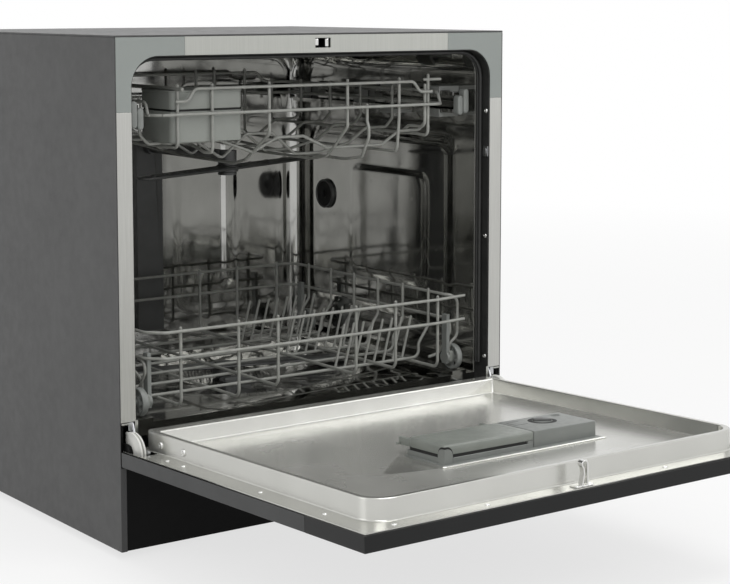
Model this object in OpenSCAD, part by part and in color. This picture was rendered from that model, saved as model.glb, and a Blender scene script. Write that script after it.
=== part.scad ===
// Countertop dishwasher with a drop-down door, two pull-out racks and two spray arms.
// Local frame: X to the right, Y from the front plane to the back, Z up from the cabinet base.
// Door parts are drawn flat: X across, -Y along the door from its hinge edge, Z out of its outer face.

/* [Cabinet] */
// Width over the side panels
cab_w = 550; // [520:1:600]
// Height of the cabinet above its base
cab_h = 575; // [560:1:600]
// Depth of the cabinet behind the front plane
cab_d = 478; // [470:1:520]
// Side panel sheet thickness
skin_t = 1; // [0.8:0.1:1.5]
// Top panel thickness
top_t = 2; // [1.5:0.1:4]
// Height of the plinth below the door
plinth_h = 96; // [80:1:97]
// Width of the folded front edge beside the plinth
edge_return = 7.5; // [5:0.5:12]
// Foot height
foot_h = 10; // [6:1:20]
// Foot radius
foot_r = 17; // [12:1:24]
// Distance of the front feet behind the front plane
foot_inset = 62; // [50:1:90]
// Distance of the rear feet before the back
foot_back = 48; // [40:1:90]
// Distance of the feet inside the side panels
foot_side = 55; // [40:1:80]

/* [Front frame] */
// Width of the steel side strips
frame_w = 20; // [16:1:26]
// Height of the steel top strip
frame_top_h = 21; // [18:1:28]
// Sheet thickness of the front frame
frame_t = 1; // [0.8:0.1:1.2]
// Corner radius of the mouth
mouth_r = 34; // [26:1:44]
// Reach of the corner pieces along the top strip
corner_w = 88; // [75:1:120]
// Reach of the corner pieces down the side strips
corner_h = 82; // [70:1:100]
// Height of the lower end of the side strips
strip_z = 147; // [145:1:160]
// Depth of the black trim inside the mouth
trim_d = 26; // [22:1:30]

/* [Tub] */
// Tub sheet thickness
tub_t = 1; // [0.8:0.1:1.5]
// Space between the inside of the tub's rear wall and the back
rear_gap = 48; // [40:1:60]
// Height of the tub floor
floor_z = 137; // [134:0.5:139]
// Height of the wheel tracks above the tub floor
track_h = 4.7; // [4:0.1:5]
// Distance of the sump centre behind the front plane
sump_y = 230; // [220:1:240]
// Radius of the sump mouth
sump_r = 62; // [55:1:64]
// Radius of the dished part of the floor
dish_r = 150; // [120:1:160]

/* [Door] */
// Gap between the closed door and the cabinet's top
door_top_gap = 6; // [4:0.5:10]
// Depth of the outer door panel
door_t = 16.5; // [15:0.1:17]
// Length of the control panel along the door
control_l = 97; // [85:1:120]
// Angle by which the open door stands above level
door_tilt = 2; // [0:0.5:3]
// Hinge pin in front of the front plane
pivot_y = 5; // [4:0.5:6]
// Hinge pin height
pivot_z = 115; // [113:0.5:117]
// Hinge pin height above the door's outer face
pivot_h = 17; // [16.5:0.1:17.5]
// Hinge pin radius
pin_r = 3; // [2.5:0.1:4]
// Clearance between the liner's raised rim and the mouth
rim_side = 7.5; // [7.5:0.5:12]
// Height of the raised rim above the door's outer face
rim_h = 40; // [36:0.5:41]
// Width of the rim's top at the sides and the handle edge
rim_w = 8; // [6:0.5:9]
// Width of the rim's top at the hinge edge
rim_rear_w = 20; // [16:0.5:26]
// Distance from the rim to the door's handle edge
rim_end = 23; // [22:1:30]
// Height of the recessed liner floor
recess_h = 22; // [20:0.5:24]

/* [Dispenser] */
// Centre of the dispenser across the door
disp_x = 46; // [20:1:60]
// Length of the dispenser across the door
disp_w = 208; // [200:1:220]
// Start of the dispenser along the door
disp_l = 224; // [210:1:230]
// Size of the dispenser along the door
disp_d = 84; // [80:1:90]
// Width of the detergent lid
lid_w = 120; // [100:1:124]
// Thickness of the detergent lid
lid_t = 9; // [6:0.5:9]

/* [Upper rack] */
// Wire radius
wire_r = 1.9; // [1.5:0.1:2.2]
// Clearance between the upper rack and the tub's sides
urack_side_gap = 45; // [43:1:55]
// Front of the upper rack
urack_y = 30; // [28:1:36]
// Clearance between the upper rack and the tub's rear wall
urack_rear_gap = 38; // [36:1:50]
// Space above the upper rack's raised top wire
urack_top_gap = 39; // [36:1:44]
// Height of the upper rack at its raised top wire
urack_h = 67; // [63:1:71]
// Step down from the raised top wire to its ends
urack_step = 14; // [11:1:17]
// Height of its second wire above its floor wires
urack_mid_h = 38; // [34:1:42]

/* [Lower rack] */
// Clearance between the lower rack and the tub's sides
lrack_side_gap = 33; // [32:1:41]
// Front of the lower rack
lrack_y = 20; // [20:1:26]
// Clearance between the lower rack and the tub's rear wall
lrack_rear_gap = 34; // [30:1:50]
// Height of the lower rack
lrack_h = 87; // [79:1:93]
// Height of its second wire above its floor wires
lrack_mid_h = 57; // [49:1:63]
// Height of its floor wires above the wheel tracks
lrack_lift = 9.3; // [8.8:0.5:11.3]
// Wheel radius
wheel_r = 16.5; // [14:0.1:17]
// Wheel width
wheel_w = 8; // [6:0.5:8]
// Distance of the front wheels behind the rack's front
wheel_front = 20; // [18:1:26]
// Distance of the rear wheels before the rack's back
wheel_rear = 26; // [22:1:60]
// Distance of the wheels outside the rack's side wires
wheel_out = 6.5; // [6:0.5:7]

/* [Spray arms] */
// Half length of the lower spray arm
larm_l = 174; // [150:1:175]
// Half length of the upper spray arm
uarm_l = 176; // [150:1:178]
// Height of the lower arm's underside above the tub floor
larm_lift = 3.5; // [3:0.5:4]
// Height of the upper rack's floor wires above the upper arm's underside
uarm_drop = 48; // [46:0.5:50]
// Centre of the upper arm behind the front plane
uarm_y = 215; // [212:1:218]
// Thickness of the arms
arm_t = 5.5; // [4:0.5:6]
// Radius of the hub post in each arm
post_r = 8; // [7:0.1:9]
// Resting angle of the upper arm
uarm_turn = 22; // [0:1:45]
// Resting angle of the lower arm
larm_turn = -14; // [-45:1:45]

/* [Fits] */
// Running clearance on the radius of pins and posts
run_c = 0.05; // [0.03:0.01:0.08]
// Gap between parts that slide or close past each other
gap = 0.4; // [0.3:0.05:0.5]
// Gap between parts fastened together
seat = 0.1; // [0.05:0.05:0.2]

/* [Rear connections] */
// Radius of the inlet thread
inlet_r = 13.2; // [12:0.1:14]
// Length of the inlet thread behind the cabinet
inlet_l = 14; // [10:1:18]
// Radius of the drain spigot
drain_r = 9.5; // [8:0.1:11]
// Length of the drain spigot behind the cabinet
drain_l = 20; // [15:1:30]
// Height of the rear connections
rear_z = 60; // [50:1:80]
// Distance of the inlet from the side
inlet_side = 75; // [60:1:85]
// Distance of the drain from the side
drain_side = 135; // [125:1:155]
// Distance of the power inlet from the side
gland_side = 75; // [60:1:95]

/* [Hidden] */

// Thin overshoot for clean cuts
e = 0.5;
// Smoothness of large round corners
fine = 64;
half_w = cab_w / 2;
// Top of the side panels and the steel frame
side_h = cab_h - top_t;
// Outer edge of everything between the side panels
in_x = half_w - skin_t - 0.2;
mouth_x = half_w - frame_w;
mouth_z = side_h - frame_top_h;
corner_x = half_w - corner_w;
corner_z = side_h - corner_h;
tub_back = cab_d - rear_gap;
track_z = floor_z + track_h;
// Outlines of the racks
urack_x = mouth_x - urack_side_gap;
u_back = tub_back - urack_rear_gap;
urack_top = mouth_z - urack_top_gap;
urack_side = urack_top - urack_step;
urack_floor = urack_top - urack_h;
urack_mid = urack_floor + urack_mid_h;
lrack_x = mouth_x - lrack_side_gap;
l_back = tub_back - lrack_rear_gap;
lrack_floor = track_z + lrack_lift;
lrack_top = lrack_floor + lrack_h;
lrack_mid = lrack_floor + lrack_mid_h;
// Tub sides reach down past the door's rim
tub_low = pivot_z - 11;
tub_front = frame_t + 0.2;
trim_t = 1;
// Gap between the seal and the closed door's rim
seal_gap = 0.9;
liner_t = 1.2;
flange_h = door_t + 0.2;
flange_top = flange_h + liner_t;
door_edge = 1;
door_x = half_w - 0.5;
// Height of the closed door's hinge edge
door_low = pivot_z - pivot_y;
// Length of the door from hinge edge to handle edge
door_l = cab_h - door_top_gap - door_low;
panel_l = door_l - control_l;
// Distance along the door from its hinge edge to the rim
rim_start = 8;
rim_corner_r = 28;
rim_x = mouth_x - rim_side;
rim_l = door_l - rim_end;
inlet_x = -half_w + inlet_side;
drain_x = -half_w + drain_side;
gland_x = half_w - gland_side;
// Rear reach of the whole part
y_back = cab_d + drain_l;
y_front = -pivot_y - (door_l - pivot_y) * cos(door_tilt) - pivot_h * sin(door_tilt);
origin_dy = -(y_back + y_front) / 2;

module place() {
    translate([0, origin_dy, foot_h])
    children();
}

// Carries the flat door frame to the open resting place
module on_door() {
    place()
    translate([0, -pivot_y, pivot_z])
    rotate([-door_tilt, 0, 0])
    translate([0, pivot_y, -pivot_h])
    children();
}

// Box from its low corner to its high corner
module block(a, b) {
    translate(a)
    cube([b[0] - a[0], b[1] - a[1], b[2] - a[2]]);
}

// Door box: x range, range along the door, height range
module door_block(x, l, h) {
    block([x[0], -l[1], h[0]], [x[1], -l[0], h[1]]);
}

// Upright outline of the mouth: flat sides, round top corners
module arch(hx, top, low, r) {
    translate([-hx, low])
    square([2 * hx, top - r - low]);
    translate([-(hx - r), low])
    square([2 * (hx - r), top - low]);
    for (s = [-1, 1])
        translate([s * (hx - r), top - r])
        circle(r, $fn = fine);
}

// Arch outline as a wall between y0 and y1
module arch_wall(hx, top, low, r, t, y0, y1) {
    translate([0, y1, 0])
    rotate([90, 0, 0])
    linear_extrude(y1 - y0)
    difference() {
        arch(hx + t, top + t, low, r + t);
        arch(hx, top, low - e, r);
    }
}

// Rectangle with round corners, given by its edges
module round_rect(x0, x1, y0, y1, r) {
    translate([x0 + r, y0])
    square([x1 - x0 - 2 * r, y1 - y0]);
    translate([x0, y0 + r])
    square([x1 - x0, y1 - y0 - 2 * r]);
    for (x = [x0 + r, x1 - r], y = [y0 + r, y1 - r])
        translate([x, y])
        circle(r, $fn = fine);
}

// Cylinder along X
module rod_x(r, x0, x1, y, z, n = 48) {
    translate([x0, y, z])
    rotate([0, 90, 0])
    cylinder(r = r, h = x1 - x0, $fn = n);
}

// Cylinder along Y
module rod_y(r, y0, y1, x, z, n = 48) {
    translate([x, y1, z])
    rotate([90, 0, 0])
    cylinder(r = r, h = y1 - y0, $fn = n);
}

// Cylinder along Z
module rod_z(r, z0, z1, x, y, n = 48) {
    translate([x, y, z0])
    cylinder(r = r, h = z1 - z0, $fn = n);
}

// Rack wire with round ends, its facets turned off the main directions
facet_turn = [17, 31, 11];

module wire(a, b, r = wire_r) {
    hull()
    for (p = [a, b])
        translate(p)
        rotate(facet_turn)
        sphere(r, $fn = 8);
}

// Wire through a list of points
module bent_wire(pts, r = wire_r) {
    for (i = [0 : len(pts) - 2])
        wire(pts[i], pts[i + 1], r);
}

// ---- Cabinet ----
steel_grey = "#55565a";

module side_panel(s) {
    outer = s * half_w;
    color(steel_grey)
    place() {
        block([min(outer, outer - s * skin_t), 0, 0], [max(outer, outer - s * skin_t), cab_d, side_h - seat]);
        block([min(outer, outer - s * edge_return), 0, 0],
            [max(outer, outer - s * edge_return), skin_t, plinth_h]);
    }
}

module top_panel() {
    color(steel_grey)
    place()
    block([-half_w, 0, side_h], [half_w, cab_d, cab_h]);
}

vent_count = 11;
vent_x = 20;
vent_w = 5;
vent_pitch = 10;
vent_z0 = 30;
vent_z1 = 62;

module rear_cover() {
    color("#8f9092")
    place()
    difference() {
        block([-in_x, cab_d - skin_t, 3], [in_x, cab_d, side_h - 0.2]);
        rod_y(inlet_r + gap, cab_d - skin_t - e, cab_d + e, inlet_x, rear_z);
        rod_y(drain_r + gap, cab_d - skin_t - e, cab_d + e, drain_x, rear_z);
        rod_y(gland_r + gap, cab_d - skin_t - e, cab_d + e, gland_x, rear_z);
        for (i = [0 : vent_count - 1])
            block([vent_x + i * vent_pitch, cab_d - skin_t - e, vent_z0],
                [vent_x + vent_w + i * vent_pitch, cab_d + e, vent_z1]);
    }
}

tray_t = 3;
// Everything in the base stands on this height
deck_z = tray_t + seat;
tray_wall_x = half_w - 21;
tray_back = cab_d - 8;

module base_tray() {
    color("#2b2c2e")
    place() {
        block([-in_x, 4.2, 0], [in_x, cab_d - skin_t - seat, tray_t]);
        difference() {
            block([-tray_wall_x, 12, tray_t], [tray_wall_x, tray_back, 24]);
            block([-tray_wall_x + 2, 14, tray_t - e], [tray_wall_x - 2, tray_back - 2, 24 + e]);
        }
    }
}

kick_x = half_w - edge_return - 0.2;

module kick_plate() {
    color("#121314")
    place() {
        block([-kick_x, 2, 0], [kick_x, 4, tub_low]);
        block([-kick_x + 14, 4, tub_low - 2], [kick_x - 14, trim_d + tub_t, tub_low]);
    }
}

module feet() {
    color("#1c1c1d")
    place()
    for (s = [-1, 1], y = [foot_inset, cab_d - foot_back])
        translate([s * (half_w - foot_side), y, -foot_h])
        rotate_extrude($fn = fine)
        polygon([[0, 0], [foot_r - 2, 0], [foot_r, 2], [foot_r, foot_h - 3], [foot_r - 4, foot_h - seat],
        [0, foot_h - seat]]);
}

// ---- Front frame ----
module frame_plate() {
    translate([0, frame_t, 0])
    rotate([90, 0, 0])
    linear_extrude(frame_t)
    difference() {
        translate([-in_x, strip_z])
        square([2 * in_x, side_h - strip_z - 0.1]);
        arch(mouth_x, mouth_z, strip_z - e, mouth_r);
    }
}

module frame_sides() {
    color("#b2b2ae")
    place()
    intersection() {
        frame_plate();
        block([-half_w, -e, strip_z], [half_w, frame_t + e, corner_z - seat]);
    }
}

module frame_corners() {
    color("#94999a")
    place()
    intersection() {
        frame_plate();
        for (s = [-1, 1])
            block([s > 0 ? corner_x : -half_w, -e, corner_z],
                [s > 0 ? half_w : -corner_x, frame_t + e, side_h]);
    }
}

// Latch hook along the door, and the slot that it enters
hook_l = [door_l - 9, door_l - 2.5];
slot_x = 10.8;
slot_z = [door_low + hook_l[0] - 2.2, door_low + hook_l[1] + 2.6];

module frame_top() {
    color("#b2b2ae")
    place()
    difference() {
        intersection() {
            frame_plate();
            block([-corner_x + seat, -e, mouth_z - e], [corner_x - seat, frame_t + e, side_h]);
        }
        block([-slot_x, -e, slot_z[0]], [slot_x, frame_t + e, slot_z[1]]);
    }
}

// Lock box behind the slot of the top strip
module latch_keeper() {
    color("#3a3b3c")
    place()
    difference() {
        block([-22, frame_t + seat, mouth_z + 2.2], [22, 26, side_h - 0.2]);
        block([-slot_x, frame_t - e, slot_z[0]], [slot_x, 24, slot_z[1]]);
    }
}

module mouth_trim() {
    color("#222221")
    place()
    arch_wall(mouth_x - trim_t - seat, mouth_z - trim_t - seat, tub_low + 2, mouth_r - trim_t - seat,
        trim_t, tub_front, trim_d);
}

seal_y = [10, 21];
seal_low = 150;

// Seal round the mouth, just clear of the closed door's rim
module door_seal() {
    color("#1a1a1a")
    place()
    translate([0, seal_y[1], 0])
    rotate([90, 0, 0])
    linear_extrude(seal_y[1] - seal_y[0])
    difference() {
        arch(mouth_x - trim_t - 2 * seat, mouth_z - trim_t - 2 * seat, seal_low, mouth_r - trim_t - 2 * seat);
        arch(rim_x + seal_gap, door_low + rim_l + seal_gap, seal_low - e, rim_corner_r + seal_gap);
    }
}

screw_z = [strip_z + 14, strip_z + 169, corner_z - 16.5];

screw_out = mouth_x - trim_t - 2 * seat;

module trim_screws() {
    color("#d8d8d6")
    place()
    for (s = [-1, 1], z = screw_z)
        rod_x(2.8, s > 0 ? screw_out - 1.3 : -screw_out, s > 0 ? screw_out : -screw_out + 1.3, 6, z);
}

// ---- Tub ----
vent_y = tub_back - 74;
vent_z = 340;
nut_r = 20;

module tub_wrap() {
    color("#8d8f8c")
    place()
    difference() {
        arch_wall(mouth_x, mouth_z, tub_low, mouth_r, tub_t, tub_front, tub_back - seat);
        rod_x(nut_r - 6, mouth_x - e, mouth_x + tub_t + e, vent_y, vent_z);
    }
}

module tub_rear_wall() {
    color("#8d8f8c")
    place()
    difference() {
        translate([0, tub_back + tub_t, 0])
        rotate([90, 0, 0])
        linear_extrude(tub_t)
        arch(mouth_x + tub_t, mouth_z + tub_t, tub_low, mouth_r + tub_t);
        rod_y(feed_r + 1, tub_back - e, tub_back + tub_t + e, 0, feed_low_z);
    }
}

track_x = [mouth_x - 37, mouth_x - 15];
lip_x = mouth_x - seat;
neck_x = -150;
neck_y = tub_back - 60;
neck_r = 24;
float_x = 150;
float_y = tub_back - 60;
float_stem_r = 4.5;
dish_z = floor_z - 8;

module tub_floor() {
    color("#8d8f8c")
    place() {
        difference() {
            block([-lip_x, trim_d, floor_z - tub_t], [lip_x, tub_back - 0.2, floor_z]);
            rod_z(dish_r, floor_z - tub_t - e, floor_z + e, 0, sump_y, 96);
            rod_z(neck_r + gap, floor_z - tub_t - e, floor_z + e, neck_x, neck_y);
            rod_z(float_stem_r + run_c, floor_z - tub_t - e, floor_z + e, float_x, float_y);
        }
        translate([0, sump_y, 0])
        rotate_extrude($fn = 96)
        polygon([[sump_r, dish_z - tub_t], [dish_r + 0.5, floor_z - tub_t], [dish_r + 0.5, floor_z],
            [sump_r, dish_z]]);
        block([-lip_x, trim_d, tub_low + 0.2], [lip_x, trim_d + 1.2, floor_z]);
        for (s = [-1, 1])
            block([s > 0 ? track_x[0] : -track_x[1], trim_d, floor_z - 0.2],
                [s > 0 ? track_x[1] : -track_x[0], tub_back - 2, track_z]);
    }
}

basket_y = sump_y - 36;
basket_r = 21;

module filter_plate() {
    color("#a5a7a4")
    place()
    difference() {
        rod_z(sump_r - 0.3, dish_z - 2, dish_z - 0.6, 0, sump_y, 96);
        rod_z(post_r + 3, dish_z - 3, dish_z + e, 0, sump_y);
        rod_z(basket_r + gap, dish_z - 3, dish_z + e, 0, basket_y);
    }
}

module filter_basket() {
    color("#7b7e80")
    place() {
        difference() {
            union() {
                rod_z(basket_r, 84, dish_z + 1, 0, basket_y);
                rod_z(basket_r + 2.5, dish_z - 0.2, dish_z + 1.6, 0, basket_y);
            }
            rod_z(basket_r - 2, 86, dish_z + 3, 0, basket_y);
        }
        block([-basket_r + 1, basket_y - 1.5, dish_z - 8], [basket_r - 1, basket_y + 1.5, dish_z + 5]);
    }
}

sump_low = 70;
larm_z = floor_z + larm_lift;
sump_wall = 3;
hub_r = 14;
arm_hub_low = 8;

// Sump bowl with the post that carries the lower arm
module sump() {
    color("#606366")
    place() {
        difference() {
            rod_z(sump_r + sump_wall, sump_low, dish_z - tub_t - 0.1, 0, sump_y, 96);
            rod_z(sump_r, sump_low + sump_wall, dish_z, 0, sump_y, 96);
        }
        difference() {
            rod_z(sump_r + e, dish_z - 6, dish_z - 2.1, 0, sump_y, 96);
            rod_z(sump_r - 3, dish_z - 7, dish_z, 0, sump_y, 96);
        }
        rod_z(post_r, sump_low + 2, larm_z + arm_t + 1, 0, sump_y);
        rod_z(post_r + 2, sump_low + 2, larm_z - arm_hub_low - 0.3, 0, sump_y);
        rod_z(post_r + 3, larm_z + arm_t + 0.4, larm_z + arm_t + 1.6, 0, sump_y);
        rod_x(pump_neck_r - 3, sump_r, sump_r + 16, pump_y, pump_neck_z);
    }
}

// Arm blade of half length l with a hub ring that runs on a post of radius post_r
module spray_blade(l, w_mid, w_end, hub_low, hub_high) {
    difference() {
        union() {
            translate([0, 0, -arm_t / 2])
            linear_extrude(arm_t)
            polygon([[-l + w_end / 2, -w_end / 2], [-hub_r, -w_mid / 2], [hub_r, -w_mid / 2],
                [l - w_end / 2, -w_end / 2], [l - w_end / 2, w_end / 2], [hub_r, w_mid / 2],
                [-hub_r, w_mid / 2], [-l + w_end / 2, w_end / 2]]);
            for (s = [-1, 1])
                translate([s * (l - w_end / 2), 0, -arm_t / 2])
                cylinder(r = w_end / 2, h = arm_t, $fn = 48);
            translate([0, 0, -hub_low])
            cylinder(r = hub_r, h = hub_low + hub_high, $fn = fine);
        }
        translate([0, 0, -hub_low - e])
        cylinder(r = post_r + run_c, h = hub_low + hub_high + 2 * e, $fn = fine);
        for (s = [-1, 1], k = [0.35, 0.55, 0.75, 0.9])
            translate([s * l * k, 0, 0])
            cylinder(r = 1.6, h = arm_t, $fn = 16);
    }
}

module lower_spray_arm() {
    color("#6f7275")
    place()
    translate([0, sump_y, larm_z + arm_t / 2])
    rotate([0, 0, larm_turn])
    spray_blade(larm_l, 36, 24, arm_t / 2 + arm_hub_low, arm_t / 2);
}

pump_y = sump_y - 20;
pump_z = 58;
pump_r = 38;
volute_r = 44;
// Left faces of the volute and the heater, and the pump's right end
volute_x = sump_r + 30;
heater_x = volute_x + 23;
pump_end = heater_x + 85;
pump_neck_r = 12;
pump_neck_z = 88;

// Circulation pump with its heater collar, on cradles
module wash_pump() {
    color("#a9abad")
    place() {
        rod_x(pump_r, heater_x, pump_end, pump_y, pump_z);
        rod_x(volute_r, volute_x, heater_x + e, pump_y, pump_z);
        difference() {
            rod_x(pump_neck_r, sump_r + 7, volute_x + 1, pump_y, pump_neck_z);
            rod_x(pump_neck_r - 3 + seat, sump_r + 6, sump_r + 17, pump_y, pump_neck_z);
        }
        for (x = [volute_x + 6, pump_end - 20])
            block([x, pump_y - 26, deck_z], [x + 8, pump_y + 26, pump_z - 20]);
    }
}

// Drain pump along Y: middle, motor radius and volute radius
drain_pump_at = [-60, 120, 40];
drain_motor_r = 24;
drain_volute_r = 30;

module drain_pump() {
    x = drain_pump_at[0];
    y = drain_pump_at[1];
    z = drain_pump_at[2];
    color("#4a4d52")
    place() {
        rod_y(drain_motor_r, y - 40, y + 30, x, z);
        rod_y(drain_volute_r, y + 29, y + 45, x, z);
        block([x - 14, y - 30, deck_z], [x + 14, y + 40, z - drain_motor_r + 6]);
    }
}

// Rear spigots are narrower as far as this behind the back, and by this much
neck_out = 1;
neck_in = 0.8;

// Water valve; its threaded end stands out of the back
module inlet_valve() {
    color("#d9dad6")
    place() {
        rod_y(inlet_r - neck_in, cab_d - 30, cab_d + neck_out + e, inlet_x, rear_z);
        rod_y(inlet_r, cab_d + neck_out, cab_d + inlet_l, inlet_x, rear_z);
        block([inlet_x - 20, cab_d - 12, rear_z - 22], [inlet_x + 20, cab_d - skin_t - seat, rear_z - 8]);
        block([inlet_x - 20, cab_d - 50, rear_z - 14], [inlet_x + 20, cab_d - 26, rear_z + 14]);
        block([inlet_x - 6, cab_d - 48, rear_z - 22], [inlet_x + 6, cab_d - 10, rear_z - 10]);
    }
}

module drain_spigot() {
    color("#3c3e41")
    place()
    difference() {
        union() {
            rod_y(drain_r - neck_in, cab_d - 40, cab_d + neck_out + e, drain_x, rear_z);
            rod_y(drain_r, cab_d + neck_out, cab_d + drain_l, drain_x, rear_z);
            rod_y(drain_r + 8, cab_d - 6, cab_d - skin_t - seat, drain_x, rear_z);
        }
        rod_y(drain_r - 2, cab_d - 36, cab_d + drain_l + e, drain_x, rear_z);
    }
}

gland_r = 9;

// Power inlet bush; no lead is fitted
module power_inlet() {
    color("#1b1b1c")
    place()
    difference() {
        union() {
            rod_y(gland_r, cab_d - 14, cab_d + 6, gland_x, rear_z);
            rod_y(gland_r + 5, cab_d - 6, cab_d - skin_t - seat, gland_x, rear_z);
        }
        rod_y(4, cab_d - 16, cab_d + 8, gland_x, rear_z);
    }
}

air_wall = 2;
air_box = [[mouth_x + tub_t + seat, 120, floor_z + 23], [in_x - 1, tub_back - 35, mouth_z - 122]];

// Flat metering chamber beside the tub, vented through a nut in the tub wall
module air_break() {
    color("#d4d2c8")
    place()
    difference() {
        union() {
            block(air_box[0], air_box[1]);
            rod_x(nut_r - 6.2, mouth_x - 2, mouth_x + tub_t + 1, vent_y, vent_z);
            rod_x(nut_r, mouth_x - 6, mouth_x - 0.1, vent_y, vent_z);
        }
        block([air_box[0][0] + air_wall, air_box[0][1] + air_wall, air_box[0][2] + air_wall],
            [air_box[1][0] - air_wall, air_box[1][1] - air_wall, air_box[1][2] - air_wall]);
        rod_x(nut_r - 9, mouth_x - 7, mouth_x + 8, vent_y, vent_z);
    }
}

soft_wall = 3;
soft_top = floor_z - 25;

// Salt tank of the water softener with its filling neck
module softener() {
    color("#8a8d90")
    place()
    difference() {
        union() {
            block([neck_x - 52, neck_y - 50, deck_z], [neck_x + 52, neck_y + 50, soft_top]);
            rod_z(neck_r, soft_top - 2, floor_z, neck_x, neck_y, fine);
        }
        block([neck_x - 52 + soft_wall, neck_y - 50 + soft_wall, deck_z + soft_wall],
            [neck_x + 52 - soft_wall, neck_y + 50 - soft_wall, soft_top - soft_wall]);
        rod_z(neck_r - soft_wall, soft_top - 12, floor_z + e, neck_x, neck_y, fine);
    }
}

cap_low = floor_z + 0.3;

module salt_cap() {
    color("#55585b")
    place() {
        rod_z(neck_r + 4, cap_low, cap_low + 5, neck_x, neck_y, fine);
        rod_z(neck_r - soft_wall - run_c, cap_low - 14, cap_low + e, neck_x, neck_y, fine);
        block([neck_x - 20, neck_y - 3, cap_low + 4], [neck_x + 20, neck_y + 3, cap_low + 8.5]);
    }
}

float_top = floor_z + 7.5;

module float_cup() {
    color("#e6e6e2")
    place() {
        difference() {
            rod_z(14, floor_z + 0.4, float_top, float_x, float_y);
            rod_z(12, floor_z, float_top - 1.5, float_x, float_y);
        }
        rod_z(float_stem_r, floor_z - 26, float_top - 1, float_x, float_y);
    }
}

feed_r = 11;
feed_low_z = floor_z + 39;
feed_z = urack_floor - 31;
feed_y = tub_back - 26;

feed_wall = 2.5;

// Duct up the rear wall; its nozzle meets the upper rack's feed tube
module feed_pipe() {
    color("#77797a")
    place()
    difference() {
        union() {
            rod_y(feed_r, tub_back - 13, tub_back + 16, 0, feed_low_z);
            block([-20, tub_back - 14, feed_low_z - 16], [20, tub_back - 0.1, feed_z + 14]);
            rod_y(feed_r - 1, feed_y, tub_back - 13, 0, feed_z);
        }
        block([-20 + feed_wall, tub_back - 14 + feed_wall, feed_low_z - 16 + feed_wall],
            [20 - feed_wall, tub_back - 0.1 - feed_wall, feed_z + 14 - feed_wall]);
        rod_y(feed_r - feed_wall, tub_back - 6, tub_back + 16 + e, 0, feed_low_z);
        rod_y(feed_r - 1 - feed_wall, feed_y - e, tub_back - 8, 0, feed_z);
    }
}

// ---- Hinges ----
// Covers, arms and ears stand side by side between the tub and the side panel
cover_x = [mouth_x + tub_t + 1.2, mouth_x + tub_t + 6.2];
arm_x = [cover_x[1] + 0.4, cover_x[1] + 3.4];
ear_x = [arm_x[1] + 0.6, arm_x[1] + 4.6];
ear_r = 8;
cover_r = 27;
tail_y = 12;
tail_z = 33;
spring_end = [205, 20];
spring_r = 4.5;
// Gap at the spring's top end, clear of the slanting tail
spring_top = 1.8;
anchor_r = 2;
tail_r = 4;

module both_sides() {
    for (s = [0, 1])
        mirror([s, 0, 0])
        children();
}

module hinge_brackets() {
    color("#9b9d9f")
    place()
    both_sides() {
        block([ear_x[1] - e, 2.4, deck_z], [half_w - skin_t - seat, 216, pivot_z + 28]);
        block([ear_x[0], -pivot_y, pivot_z - ear_r], [ear_x[1], 40, pivot_z + ear_r]);
        rod_x(ear_r, ear_x[0], ear_x[1], -pivot_y, pivot_z);
        rod_x(pin_r, cover_x[1] + 0.2, ear_x[0] + e, -pivot_y, pivot_z);
        rod_x(anchor_r, arm_x[0] - 2, ear_x[1], spring_end[0], spring_end[1]);
    }
}

tail_top = [-pivot_y + tail_y, pivot_z + tail_z];
spring_dy = spring_end[0] - tail_top[0];
spring_dz = spring_end[1] - tail_top[1];
spring_len = sqrt(spring_dy * spring_dy + spring_dz * spring_dz);

// Balance springs from the hinge tails down to the rear hooks
module door_springs() {
    color("#b9bbbd")
    place()
    both_sides()
    translate([(arm_x[0] + arm_x[1]) / 2 - 3.4, tail_top[0], tail_top[1]])
    rotate([atan2(spring_dz, spring_dy) - 90, 0, 0])
    translate([0, 0, tail_r + spring_top])
    cylinder(r = spring_r, h = spring_len - tail_r - spring_top - anchor_r - gap, $fn = 32);
}

module hinge_arms() {
    color("#b4b6b8")
    both_sides()
    difference() {
        union() {
            on_door() {
                rod_x(ear_r, arm_x[0], arm_x[1], -pivot_y, pivot_h);
                door_block([arm_x[0], arm_x[1]], [pivot_y, 112], [flange_top + 0.1, flange_top + 3]);
                door_block([rim_x + 3, arm_x[1]], [cover_r + 8, 112], [flange_top + 0.1, flange_top + 3]);
                door_block([arm_x[0], arm_x[1]], [pivot_y, notch_l - gap], [pivot_h, flange_top + 3]);
                for (l = [42, 91])
                    rod_z(3, flange_top + 2, flange_top + 3.4, rim_x + 7, -l);
            }
            place()
            translate([0, -pivot_y, pivot_z])
            rotate([-atan2(tail_y, tail_z), 0, 0]) {
                block([arm_x[0], -tail_r, 0], [arm_x[1], tail_r, sqrt(tail_y * tail_y + tail_z * tail_z)]);
                rod_x(tail_r, arm_x[0], arm_x[1], 0, sqrt(tail_y * tail_y + tail_z * tail_z));
            }
        }
        on_door()
        rod_x(pin_r + run_c, arm_x[0] - e, arm_x[1] + e, -pivot_y, pivot_h);
    }
}

// Quarter-round covers that close the slot beside the rim as the door opens
module hinge_covers() {
    color("#e4e4e0")
    on_door()
    both_sides()
    intersection() {
        rod_x(cover_r, cover_x[0], cover_x[1], -pivot_y, pivot_h, 96);
        door_block(cover_x, [pivot_y, pivot_y + cover_r + 1], [flange_top + 0.1, pivot_h + cover_r + 1]);
    }
}

// ---- Door ----
notch_x = [cover_x[0] - 1.2, ear_x[1] + 1.4];
notch_l = 17;
pan_t = 1.2;

module hinge_notches() {
    both_sides()
    door_block(notch_x, [-e, notch_l], [1.5, flange_top + e]);
}

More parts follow.
